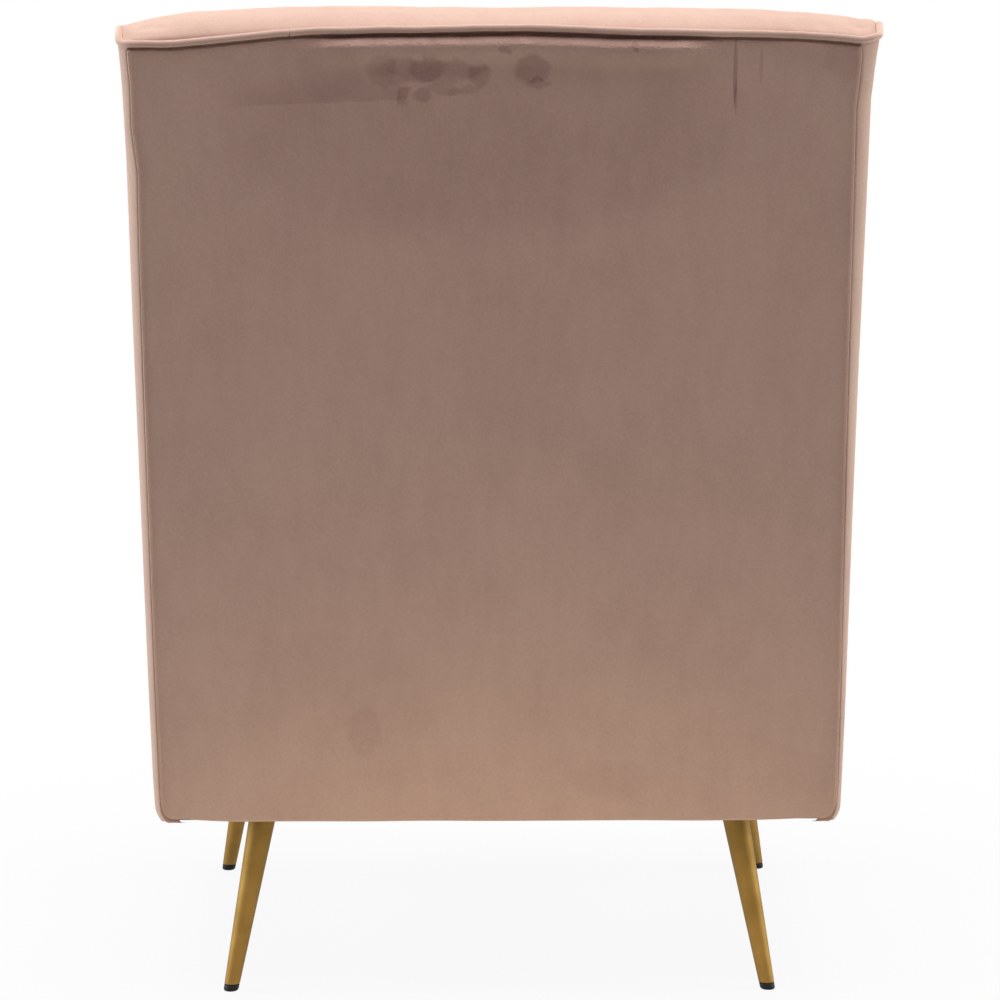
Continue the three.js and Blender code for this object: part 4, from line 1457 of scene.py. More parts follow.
@dataclass
class InsideBack(Cover):
    """The inside back: five round-ended channels under a roll that goes over to the rear seam."""

    node = "inside_back_cushion"
    fill = 0.8
    half: float = 236.1 * MM
    end: float = 235.9 * MM
    channels: int = 5
    channel_rise: float = 18 * MM
    seam_depths: Pair = (108 * MM, 82 * MM)
    arch_drop: float = 112 * MM
    roll_puff: float = 24 * MM
    bottom_rise: float = 132.1 * MM
    pad_rise: float = 622 * MM
    front_end: float = 0.908
    rear_seam: float = 2.8 * MM
    # The roll, as shares of its depth ahead of the rear face and below its crown
    roll: tuple = ((1, 0.45), (0.94, 0.22), (0.81, 0.07), (0.6, 0), (0.42, 0))
    # From there back: shares of the way to the rear seam still to go, and of the drop to it
    rear_slope: tuple = ((0.62, 0.1), (0.34, 0.31), (0.15, 0.58), (0.05, 0.82))
    # Soft dents in the roll: across, up from the rear seam, width and depth, in millimetres
    dents: tuple = ((281, 26, 6, 1.6), (270, 21, 5, 1.3), (-290, 24, 6, 1.8), (-262, 15, 7, 0.9))
    front_rows: int = 173
    roll_steps: int = 9
    channel_columns: int = 44
    end_columns: int = 24
    end_round: float = 1.1 * MM
    end_reach: float = 1.2 * MM
    # The hidden rear face, a flattened copy of the front
    core_share: float = 0.35
    core_ahead: float = 0.026
    core_limits: Pair = (0.045, 0.062)
    core_drop: float = 0.02
    # How far below the crown the roll's middle is, and where its ends begin, over what length
    crown_depth: float = 0.045
    ends_start: float = 0.17
    ends_run: float = 0.1
    stride: int = 4

    def swell(self, across: np.ndarray, rise: np.ndarray) -> np.ndarray:
        """Gives how far the channels and the roll stand out of their seams.

        Args:
            across: Places across the back.
            rise: Heights up it.

        Returns:
            The distances ahead.
        """
        half = self.half / self.channels
        channel = np.clip(np.floor((across + self.half) / (2 * half)), 0, self.channels - 1)
        centre = (2 * channel + 1) * half - self.half
        above = np.maximum(0, rise - (self.body.arch_rise(across) - self.arch_drop))
        distance = np.hypot(across - centre, above) / half
        inside = self.channel_rise * np.sqrt(1 - np.minimum(distance, 1) ** 2)
        past = np.clip((distance - 1) * half / self.roll_puff, 0, 1)
        outside = self.channel_rise * np.sqrt(1 - (1 - past) ** 2)
        gathers = ripple(rise + 0.2 * across, 6 * MM, 31)
        gathers = gathers * np.exp(-np.abs(1 - distance) * half / (5 * MM))
        return np.where((distance < 1) | (above <= 0), inside, outside) + 0.7 * MM * gathers

    def columns(self) -> np.ndarray:
        """Gives the places of the columns, crowded towards the seams between channels.

        Returns:
            The places across, from right to left.
        """
        half = self.half / self.channels
        turn = (1 - np.cos(np.linspace(0, math.pi, self.channel_columns + 1))) / 2
        runs = [(2 * k * half - self.half) + 2 * half * turn[:-1] for k in range(self.channels)]
        middle = np.concatenate([*runs, [self.half]]) * self.end / self.half
        outer = self.end + (self.roll_end - self.end) * shares(self.end_columns, 0, 1.0)[1:]
        return np.concatenate([-outer[::-1], middle, outer])

    @property
    def roll_end(self) -> float:
        """From the middle plane to the roll's ends, pressed into the welts of the ears."""
        return self.body.cover_across + self.end_reach

    def profile(self, across: np.ndarray) -> Points:
        """Gives each column's places ahead and up, from its lower edge over the roll to the seam.

        Args:
            across: The columns' places.

        Returns:
            Places ahead and up, row by row.
        """
        arch, crown = self.body.arch_rise(across), self.body.crown_rise(across)
        share = np.linspace(0, self.front_end, self.front_rows + 1)[:, None]
        rise = self.bottom_rise + (arch - self.bottom_rise) * share
        near, far = self.seam_depths
        ahead = near + (far - near) * share + self.swell(across[None, :], rise)
        front = np.stack([ahead, rise], axis=-1)
        depth = self.body.roll_depth
        knots = [
            np.stack([np.full_like(across, ahead_share * depth), crown - drop * depth], -1)
            for ahead_share, drop in self.roll
        ]
        seam = self.body.seam_rise(across) - 0.8 * MM
        rear = self.body.seam_ahead(across) + self.rear_seam
        for ahead_share, drop_share in self.rear_slope:
            ahead = rear + (self.roll[-1][0] * depth - rear) * ahead_share
            knots.append(np.stack([ahead, crown - (crown - seam) * drop_share], -1))
        rear = np.stack([rear, seam], axis=-1)
        knots = np.stack([front[-12], front[-1], *knots, rear])
        roll = spline(knots, self.roll_steps)[self.roll_steps + 1:]
        return np.concatenate([front, self._tended(across, roll)])

    def _tended(self, across: np.ndarray, roll: Points) -> Points:
        """Adds to the roll its soft dips, the puckers by its rear seam and its rounded ends.

        Args:
            across: The columns' places.
            roll: The plain roll.

        Returns:
            The roll as it is sewn.
        """
        body = self.body
        core_rise = body.crown_rise(across) - self.crown_depth
        core = np.stack([np.full_like(across, 0.5 * body.roll_depth), core_rise], -1)
        away = roll - core
        reach = np.linalg.norm(away, axis=-1)
        to_seam = np.linalg.norm(roll - roll[-1:], axis=-1)
        dips = ripple(across, 55 * MM, 41) * 0.7 * MM + ripple(across, 19 * MM, 42) * 0.25 * MM
        ends = np.clip((np.abs(across) - self.ends_start) / self.ends_run, 0, 1)
        puckers = ripple(across, 6 * MM, 43) * 0.7 * MM * (0.3 + 0.7 * ends)
        puckers *= np.clip((body.cover_across - np.abs(across)) / (9 * MM), 0, 1)
        change = dips * np.clip(to_seam / 0.03, 0, 1)
        change = change + puckers * np.exp(-((to_seam - 0.006) / 0.009) ** 2)
        change -= 1.4 * MM * ends * np.exp(-((to_seam - 0.002) / 0.003) ** 2)
        for place, up, width, depth in self.dents:
            apart = ((across - place * MM) / (width * MM)) ** 2
            apart = apart + ((to_seam - up * MM) / (1.3 * width * MM)) ** 2
            change -= depth * MM * np.exp(-apart)
        change -= rounded(self.roll_end - np.abs(across), self.end_round)
        start = np.clip(np.arange(len(roll)) / (2 * self.roll_steps), 0, 1)[:, None]
        return core + away * (1 + change * start / reach)[..., None]

    def skin(self) -> Skin:
        """Shapes the cover.

        Returns:
            The skin.
        """
        across = self.columns()
        outline = self.profile(across)
        core = outline.copy()
        core[..., 0] = np.clip(core[..., 0] * self.core_share + self.core_ahead, *self.core_limits)
        core[..., 1] = np.minimum(core[..., 1], self.body.back_rise - self.core_drop)
        front = self.body.on_back_splayed(across, outline[..., 0], outline[..., 1])
        back = self.body.on_back_splayed(across, core[..., 0], core[..., 1])
        start = int(np.argmax(outline[:, 0, 1] > self.pad_rise)) // self.stride * self.stride
        first, last = self.end_columns, len(across) - 1 - self.end_columns
        # Below the roll's ends the cover stops at the arms' padding
        upper, lower = slice(start, None), slice(start + 1)
        skin = Skin("inside_back")
        for rows, columns in ((upper, slice(None)), (lower, slice(first, last + 1))):
            skin.add_grid(front[rows, columns])
            skin.add_grid(back[rows, columns][::self.stride, ::self.stride])
        edges = [
            (-1, slice(None)), (0, slice(first, last + 1)),
            (start, slice(first + 1)), (start, slice(last, None)),
            (upper, 0), (upper, -1), (lower, first), (lower, last),
        ]
        for edge in edges:
            skin.add_wall(front[edge], back[edge][::self.stride])
        return skin


@dataclass
class SidePad(Cover):
    """The padding of a wing and arm, with its cover drawn over the frame to the outer welt."""

    node = "side_pad"
    fill = 0.8
    side: Side
    columns_per_knot: int = 7
    wall_columns: int = 36
    rows: int = 320
    stride: int = 4
    inner: float = 236.4 * MM
    wall_puff: float = 3.0 * MM
    puff_rate: float = 1.5
    full_puff: float = 0.15
    settle_rate: float = 14.0
    bay_depth: float = 78.3 * MM
    pad_rise: float = 628 * MM
    floor_height: float = 294 * MM
    front_inset: float = 13 * MM
    # Across the top: distances from the middle plane, and in from the side's outline
    section: tuple = ((298.9, 4.6), (297.2, 1.6), (289, -1.4), (273, -2.6), (255, 1.4), (242, 9.5),
                      (236.9, 24))
    core: tuple = ((295, 9), (293, 9), (286, 10), (272, 11), (261, 13), (254, 18), (249, 30))
    core_depth: float = 12 * MM

    @property
    def label(self) -> str:
        """Names the side."""
        return f"_{self.side.label}"

    def _lower(self) -> Points:
        """Gives the pad's lower boundary: down the back, forward over the deck, down the arm's front.

        Returns:
            Its four corners, as depths and heights.
        """
        body = self.body
        top = body.on_back(self.bay_depth, self.pad_rise)
        drop = (self.pad_rise - (self.floor_height - body.base) / math.cos(body.recline))
        foot = body.on_back(self.bay_depth, self.pad_rise - drop)
        foot[1] = self.floor_height
        front = np.array([self.front_inset - body.depth, self.floor_height])
        return np.array([top, foot, front, [front[0], body.base]])

    def _rows(self) -> tuple[np.ndarray, Points]:
        """Gives the rows' places on the edge route, and their ends on the lower boundary.

        Returns:
            The places on the route, and the lower ends.
        """
        body = self.body
        route = body.edge_route()[body.ear_end:]
        along = lengths(route)
        turn = along[body.arm_turn - body.ear_end]
        head = int(self.rows * turn / along[-1])
        head -= head % self.stride
        places = np.concatenate([
            shares(head, 0.5, 0.3) * turn,
            turn + shares(self.rows - head, 0.3, 0.3)[1:] * (along[-1] - turn),
        ])
        top, foot, front, low = self._lower()
        behind = spaced(np.array([top, foot, front]), head + 1)
        shown = places[:head + 1] / turn
        behind = read(behind, np.linspace(0, 1, head + 1), shown)
        down = (places[head:] - turn) / (along[-1] - turn)
        below = front + (low - front) * down[1:, None]
        numbers = np.interp(places, along, np.arange(len(route))) + body.ear_end
        return numbers, np.concatenate([behind, below])

    def _sheet(self, knots: tuple, wall: float, puff: float) -> Points:
        """Gives a sheet over the pad.

        Args:
            knots: Its cross-section over the top.
            wall: How far from the middle plane its inner face is.
            puff: How far that face swells.

        Returns:
            A grid of points, a row for each place along the edge.
        """
        body = self.body
        numbers, lower = self._rows()
        curve = spline(np.array(knots) * MM, self.columns_per_knot)
        places = np.arange(len(body.edge_route()))
        crossing = []
        for x, inset in curve:
            flat = read(body.inset_route(inset), places, numbers)
            crossing.append(body.splayed(self.side.value * x + 0 * flat[:, 0], flat))
        last = read(body.inset_route(curve[-1][1]), places, numbers)
        reach = np.linalg.norm(lower - last, axis=1)
        for share in shares(self.wall_columns, 0.6, 0)[1:]:
            bulge = puff * np.sin(math.pi * min(1.0, self.puff_rate * share))
            bulge = bulge * np.clip(reach / self.full_puff, 0, 1)
            settle = (curve[-1][0] - wall) * (1 - math.exp(-share * self.settle_rate))
            x = curve[-1][0] - settle - bulge
            crossing.append(body.splayed(self.side.value * x, last + (lower - last) * share))
        return np.stack(crossing, axis=1)

    def skin(self) -> Skin:
        """Shapes the cover.

        Returns:
            The skin.
        """
        sheets = (
            self._sheet(self.section, self.inner, self.wall_puff),
            self._sheet(self.core, self.inner + self.core_depth, 0.0),
        )
        spare = -(sheets[0].shape[1] - 1) % self.stride
        front, back = (
            np.concatenate([sheet, np.repeat(sheet[:, -1:], spare, axis=1)], axis=1) for sheet in sheets
        )
        return Skin.shell(f"arm_pad{self.label}", front, back, self.stride)


# Welts and stitches


@dataclass
class EdgeWelts:
    """The welts on the body's edges: cord in a strip of velvet, with butt joints on the ears."""

    body: ChairBody
    sides: int = 16
    spacing: float = 2.2 * MM
    ear_start: float = 20 * MM
    seam_across: float = 167 * MM
    joint_share: float = 0.8
    joint_gap: float = 0.3 * MM
    joint_step: float = 0.35 * MM
    joint_clear: float = 1.6 * MM
    wave: float = 0.45 * MM
    wave_fade: float = 0.02
    end_share: float = 0.72
    joint_pinch: float = 0.45

    def _rear(self) -> Points:
        """Gives the rear run and its turns on to both ears, as places across, ahead and up.

        Returns:
            The places, from the right ear to the left one.
        """
        body = self.body
        run = np.linspace(-body.turn_across, body.turn_across, 160)
        angles = np.linspace(0, math.pi / 2, 14)[1:]
        turn = body.turn_across + (body.welt_across - body.turn_across) * np.sin(angles)
        across = np.concatenate([-turn[::-1], run, turn])
        return np.stack([across, body.seam_ahead(across), body.seam_rise(across)], axis=-1)

    def _ear_and_front(self) -> Points:
        """Gives the run over an ear and down the arm, in the same way.

        Returns:
            The places, from the ear to the base.
        """
        body = self.body
        flat = body.inset_route(body.welt_inset)
        ahead, rise = body.off_back(flat)
        start = int(np.argmax(ahead > self.ear_start))
        edge = np.stack([np.full_like(ahead, body.welt_across), ahead, rise], axis=-1)[start:]
        knots = np.concatenate([self._rear()[[-4, -1]], edge[:9:4]])
        return np.concatenate([spline(knots, 8)[9:-8], edge[4:]])

    def _with_joint(self, places: Points, joint: float) -> Points:
        """Sets close points where the strip is joined.

        Args:
            places: The welt's middle line, at even steps.
            joint: How far across the rear the joint is.

        Returns:
            The line, with the close points in place of those that they meet.
        """
        near = int(np.argmin(np.abs(places[:, 0] - joint) + 9 * places[:, 1]))
        steps = joint + np.arange(-3, 4) * self.joint_step - places[near, 0]
        close = places[near] + (places[near + 1] - places[near]) / self.spacing * steps[:, None]
        clear = np.abs(places[:, 0] - joint) > self.joint_clear
        clear |= places[:, 1] > 2 * self.body.welt_ahead
        return np.concatenate([places[:near][clear[:near]], close, places[near:][clear[near:]]])

    def _cord(
        self,
        name: str,
        places: Points,
        seed: int,
        material: Material,
        joint: Optional[float] = None,
    ) -> Piece:
        """Makes a welt.

        Args:
            name: The piece's.
            places: The welt's middle line, across, ahead and up.
            seed: Of its waves.
            material: Its velvet.
            joint: How far across the rear its strip is joined, if it is.

        Returns:
            The piece.
        """
        count = int(lengths(places)[-1] / self.spacing)
        places = spaced(places, count)
        if joint is not None:
            places = self._with_joint(places, joint)
        path = self.body.on_back_splayed(places[:, 0], places[:, 1], places[:, 2])
        along = lengths(path)
        fade = np.clip(np.minimum(along, along[-1] - along) / self.wave_fade, 0, 1)
        path[:, 1] += self.wave * ripple(along, 21 * MM, seed) * fade
        path[:, 2] += self.wave * ripple(along, 27 * MM, seed + 1) * fade
        radius = self.body.welt / 2 * (1 + 0.035 * ripple(along, 5 * MM, seed + 2))
        radius[[0, -1]] *= self.end_share
        if joint is not None:
            from_joint = np.hypot(places[:, 0] - joint, places[:, 1] - self.body.welt_ahead)
            radius *= 1 - self.joint_pinch * np.exp(-(from_joint / (0.4 * MM)) ** 2)
        piece = Skin.loft(name, tube(path, radius, self.sides)).piece(material, "welt_velvet")
        return stuffed(piece, name.replace("_cord", ""))

    def build(self, material: Material) -> list[Piece]:
        """Builds the top welt and both side welts.

        Args:
            material: Their velvet.

        Returns:
            The pieces.
        """
        joint = self.joint_share * self.body.roll_depth
        edge = self._ear_and_front()
        stop = int(np.argmax(edge[:, 1] > joint))
        mirror = np.array([-1.0, 1.0, 1.0])
        whole = np.concatenate([(edge[:stop] * mirror)[::-1], self._rear(), edge[:stop]])
        made = [self._cord("top_welt_cord", whole, 50, material, self.seam_across)]
        gap = np.linalg.norm(edge[stop:] - edge[stop - 1], axis=1)
        rest = edge[stop + int(np.argmax(gap > 2 * self.joint_gap)):]
        for side in Side:
            places = rest * np.array([side.value, 1.0, 1.0])
            made.append(self._cord(f"side_welt_cord_{side.label}", places, 60 + side.value, material))
        return made


class Unit(Enum):
    """The small shapes that a row repeats, by their width, length and height."""

    THREAD = (0.4 * MM, 1.5 * MM, 0.4 * MM)
    STAPLE = (10 * MM, 1.3 * MM, 0.8 * MM)


@dataclass
class StitchRow:
    """A row of stitches or staples at even steps along paths, made by Geometry Nodes."""

    name: str
    unit: Unit
    pitch: float
    slot: str
    seed: int = 3
    sizes: Pair = (0.85, 1.15)

    def _tree(self, material: Material) -> bpy.types.NodeTree:
        """Builds the node tree that sets small rounded blocks along curves.

        Args:
            material: What the blocks are made of.

        Returns:
            The tree.
        """
        tree = bpy.data.node_groups.new(f"{self.name}_row", "GeometryNodeTree")
        face, graph = tree.interface, NodeGraph(tree)
        face.new_socket("Geometry", in_out="INPUT", socket_type="NodeSocketGeometry")
        for label in ("Pitch", "Width", "Length", "Height"):
            face.new_socket(label, in_out="INPUT", socket_type="NodeSocketFloat")
        face.new_socket("Seed", in_out="INPUT", socket_type="NodeSocketInt")
        face.new_socket("Geometry", in_out="OUTPUT", socket_type="NodeSocketGeometry")
        given = {socket.name: Wire(graph, socket) for socket in tree.nodes.new("NodeGroupInput").outputs}

        curve = graph.node("GeometryNodeMeshToCurve", None, {"Mesh": given["Geometry"]})
        points = graph.node(
            "GeometryNodeCurveToPoints", {"mode": "LENGTH"}, {"Curve": curve, "Length": given["Pitch"]}
        )
        tangent = Wire(graph, points.socket.node.outputs["Tangent"])
        turn = graph.node("FunctionNodeAlignRotationToVector", {"axis": "Y"}, {"Vector": tangent})
        size = {0: given["Width"], 1: given["Length"], 2: given["Height"]}
        size = graph.node("ShaderNodeCombineXYZ", None, size)
        block = graph.node("GeometryNodeMeshCube", None, {"Size": size})
        soft = graph.node("GeometryNodeSubdivisionSurface", None, {"Mesh": block, "Level": 1})
        low, high = self.sizes
        chance = graph.node(
            "FunctionNodeRandomValue", {"data_type": "FLOAT"}, {"Seed": given["Seed"], 2: low, 3: high}, 1
        )
        placed = graph.node("GeometryNodeInstanceOnPoints", None, {
            "Points": points,
            "Instance": soft,
            "Rotation": turn,
            "Scale": chance,
        })
        real = graph.node("GeometryNodeRealizeInstances", None, {"Geometry": placed})
        painted = graph.node("GeometryNodeSetMaterial", None, {"Geometry": real, "Material": material})
        graph.end_in("NodeGroupOutput", painted)
        return tree

    def build(self, paths: Sequence[Points], material: Material) -> Piece:
        """Builds the row.

        Args:
            paths: Lines of points in the row frame.
            material: The thread's or the wire's finish.

        Returns:
            The piece.
        """
        mesh = bpy.data.meshes.new(f"{self.name}_path")
        starts = np.cumsum([0] + [len(path) for path in paths])
        edges = [
            (int(start + i), int(start + i + 1))
            for start, path in zip(starts, paths) for i in range(len(path) - 1)
        ]
        mesh.from_pydata(np.concatenate(paths).tolist(), edges, [])
        carrier = linked(f"{self.name}_path", mesh)
        row = carrier.modifiers.new("row", "NODES")
        row.node_group = self._tree(material)
        values = {"Pitch": self.pitch, "Seed": self.seed}
        values |= dict(zip(("Width", "Length", "Height"), self.unit.value))
        for item in row.node_group.interface.items_tree:
            if item.in_out == "INPUT" and item.name in values:
                row[item.identifier] = values[item.name]
        made = shown_mesh(carrier)
        made.name = self.name
        carrier.modifiers.clear()
        bpy.data.objects.remove(carrier)
        return finished(made, material)


# Seat


@dataclass
class SeatCushion:
    """The seat cushion: boxed, with a crowned top, swollen by a cloth simulation."""

    body: ChairBody
    half: float = 236.1 * MM
    bottom: float = 300 * MM
    top: float = 416 * MM
    setback: float = 2 * MM
    crest: float = 126.3 * MM
    corner: float = 30 * MM
    least_corner: float = 10 * MM
    draw: float = 4 * MM
    welt: float = 5 * MM
    gap: float = 0.3 * MM
    start_crown: float = 9 * MM
    voxel: float = 5 * MM
    cloth: ClassVar[Mapping[str, float]] = {
        "quality": 6,
        "mass": 0.3,
        "tension_stiffness": 9.0,
        "compression_stiffness": 9.0,
        "shear_stiffness": 6.0,
        "bending_stiffness": 0.6,
        "use_pressure": True,
        "uniform_pressure_force": 4.0,
    }
    # How near its upper seam's height, and how near that seam, a point is sewn
    sewn_height: float = 4.5 * MM
    sewn_reach: float = 6 * MM
    # How much of the swelling is left where the arms and the back hold it, and at its free parts
    held_sides: float = 0.15
    free_sides: float = 0.5
    held_back: float = 0.1
    free_front: float = 0.45
    frames: int = 20
    cap: float = 23 * MM
    side_steps: int = 44
    turn_steps: int = 10

    @property
    def welt_inset(self) -> float:
        """From the cushion's side to the middle of its welts."""
        return self.welt / 2 + self.gap

    @property
    def welt_heights(self) -> Pair:
        """The heights of its lower and its upper welt."""
        half = self.welt / 2 + self.gap
        return self.bottom + 2 * half, self.top - half

    def ring(self, inset: float, height: float) -> Points:
        """Gives a level ring round the cushion, at a distance in from its widest one.

        Args:
            inset: How far in from the widest ring.
            height: Its height.

        Returns:
            The ring's points.
        """
        right = self.half - inset
        front = self.setback - self.body.depth + inset
        tangent = math.tan(self.body.recline)
        rear = (height - self.body.base) * tangent - self.crest / math.cos(self.body.recline) - inset
        radius = max(self.corner - inset, self.least_corner)
        centres = [(right - radius, rear - radius), (radius - right, rear - radius),
                   (radius - right, front + radius), (right - radius, front + radius)]
        points = []
        for k, (x, y) in enumerate(centres):
            start = k * math.pi / 2
            angles = start + np.linspace(0, math.pi / 2, self.turn_steps + 1)
            turn = np.stack([x + radius * np.cos(angles), y + radius * np.sin(angles)], axis=-1)
            following = np.array(centres[(k + 1) % 4])
            stop = start + math.pi / 2
            end = following + radius * np.array([math.cos(stop), math.sin(stop)])
            share = np.linspace(0, 1, self.side_steps + 1)[1:-1, None]
            inward = -np.array([math.cos(stop), math.sin(stop)])
            run = turn[-1] + (end - turn[-1]) * share + inward * self.draw * np.sin(math.pi * share)
            points += [turn, run]
        flat = np.concatenate(points)
        return self.body.splayed(flat[:, 0], np.stack([flat[:, 1], np.full(len(flat), height)], axis=-1))

    def _start(self, material: Material) -> Piece:
        """Makes the shape that the simulation swells.

        Args:
            material: Its velvet.

        Returns:
            The piece, still plain.
        """
        low, high = self.welt_heights
        seam = 2 * self.welt_inset
        rings = [self.ring(self.half * 0.8, self.bottom), self.ring(self.half * 0.4, self.bottom),
                 self.ring(seam + 10 * MM, self.bottom), self.ring(seam, low - 2 * MM),
                 self.ring(seam, low + 2 * MM), self.ring(seam * 0.3, low + 9 * MM),
                 self.ring(0, (low + high) / 2), self.ring(seam * 0.3, high - 9 * MM),
                 self.ring(seam, high - 2 * MM), self.ring(seam, high + 2 * MM)]
        for inward, up in ((0.07, 0.4), (0.2, 0.7), (0.4, 0.9), (0.62, 1.0), (0.8, 1.0)):
            rings.append(self.ring(seam + inward * self.half, self.top + up * self.start_crown))
        return Skin.loft("seat_cushion_cover", rings).piece(material, "velvet")

    def _swollen(self, piece: Piece) -> None:
        """Remeshes the piece, swells it as a cloth with its seams and underside held, and applies that.

        Args:
            piece: The plain cushion.
        """
        remesh = piece.modifiers.new("remesh", "REMESH")
        remesh.mode = "VOXEL"
        remesh.voxel_size = self.voxel
        applied(piece)
        low, high = self.welt_heights
        points = coordinates(piece.data)
        rim = self.ring(2 * self.welt_inset, high)
        held = points[:, 2] < low + self.sewn_reach
        near = np.abs(points[:, 2] - high) < self.sewn_height
        spread = np.array([np.min(np.hypot(*(rim[:, :2] - p[:2]).T)) for p in points[near]])
        seam = np.flatnonzero(near)[spread < self.sewn_reach]
        group = piece.vertex_groups.new(name="sewn")
        group.add([int(i) for i in np.union1d(np.flatnonzero(held), seam)], 1.0, "REPLACE")
        cloth = piece.modifiers.new("swell", "CLOTH")
        for setting, value in self.cloth.items():
            setattr(cloth.settings, setting, value)
        cloth.settings.vertex_group_mass = group.name
        cloth.settings.effector_weights.gravity = 0.0
        cloth.point_cache.frame_start, cloth.point_cache.frame_end = 1, self.frames
        scene = bpy.context.scene
        for number in range(1, self.frames + 1):
            scene.frame_set(number)
            piece.evaluated_get(bpy.context.evaluated_depsgraph_get())
        swollen = shown_mesh(piece)
        move = coordinates(swollen) - points
        bpy.data.meshes.remove(swollen)
        piece.modifiers.clear()
        scene.frame_set(1)
        far = np.linalg.norm(move, axis=1, keepdims=True)
        move *= self.cap * np.tanh(far / self.cap) / np.maximum(far, 1e-9)
        # The arms and the back hold its sides; only its top and its front are free
        upper = np.clip((points[:, 2] - high + 4 * MM) / (8 * MM), 0, 1)
        move[:, 0] *= self.held_sides + self.free_sides * upper
        back = points[:, 1] > self.body.rear - self.body.depth / 2
        move[:, 1] *= np.where(back, self.held_back, self.free_front)
        piece.data.vertices.foreach_set("co", (points + move).ravel())

    def build(self, material: Material) -> Piece:
        """Builds the cushion.

        Args:
            material: Its velvet.

        Returns:
            The piece.
        """
        piece = self._start(material)
        self._swollen(piece)
        smooth = piece.modifiers.new("smooth", "SUBSURF")
        smooth.levels = smooth.render_levels = 1
        applied(piece)
        return stuffed(piece, "seat_cushion")

    def build_welts(self, material: Material) -> list[Piece]:
        """Builds the welts in its two seams.

        Args:
            material: Their velvet.

        Returns:
            The pieces.
        """
        made = []
        for node, height in zip(("seat_welt_lower", "seat_welt_upper"), self.welt_heights):
            path = self.ring(self.welt_inset, height)
            along = np.arange(len(path)) * 6 * MM
            path[:, 2] += 0.4 * MM * ripple(along, 23 * MM, int(height * 1000))
            radius = self.welt / 2 * (1 + 0.04 * ripple(along, 7 * MM, 71))
            rings = tube(path, radius, 12, closed=True)
            skin = Skin(f"{node}_cord")
            round_again = np.concatenate([rings, rings[:1]])
            skin.add_grid(np.concatenate([round_again, round_again[:, :1]], axis=1))
            made.append(stuffed(skin.piece(material, "welt_velvet"), node))
        return made


def coordinates(mesh: bpy.types.Mesh) -> Points:
    """Gives a mesh's points, one in each row.

    Args:
        mesh: The mesh.

    Returns:
        The points.
    """
    flat = np.empty(len(mesh.vertices) * 3)
    mesh.vertices.foreach_get("co", flat)
    return flat.reshape(-1, 3)


def applied(piece: Piece) -> None:
    """Applies a piece's modifiers to its mesh.

    Args:
        piece: The piece.
    """
    mesh = shown_mesh(piece)
    piece.modifiers.clear()
    old, name = piece.data, piece.data.name
    piece.data = mesh
    bpy.data.meshes.remove(old)
    mesh.name = name
    mesh.shade_smooth()


@dataclass
class FrontBorder(Cover):
    """The padded border under the front of the seat."""

    node = "front_border"
    half: float = 241.6 * MM
    top: float = 299.7 * MM
    thickness: float = 12 * MM
    edge_round: float = 7 * MM
    puff: float = 2.0 * MM
    columns: int = 96
    rows: int = 40
    stride: int = 8

    def skin(self) -> Skin:
        """Shapes the cover.

        Returns:
            The skin.
        """
        across = (2 * shares(self.columns, 0.6, 0.6)[None, :] - 1) * self.half
        up = self.body.base + (self.top - self.body.base) * shares(self.rows, 0.6, 0.6)[:, None]
        across, up = np.broadcast_arrays(across, up)
        edge = np.minimum(self.half - np.abs(across), np.minimum(up - self.body.base, self.top - up))
        slack = ripple(across + up, 40 * MM, 81)
        swell = self.puff * (1 - np.exp(-edge / (20 * MM))) * (1 + 0.3 * slack)
        depth = rounded(edge, self.edge_round) - self.body.depth - swell
        front = self.body.splayed(across, np.stack([depth, up], axis=-1))
        inner = np.full_like(depth, self.thickness - self.body.depth)
        back = self.body.splayed(across, np.stack([inner, up], axis=-1))
        return Skin.shell("front_border_cover", front, back, self.stride)


# Legs and underside


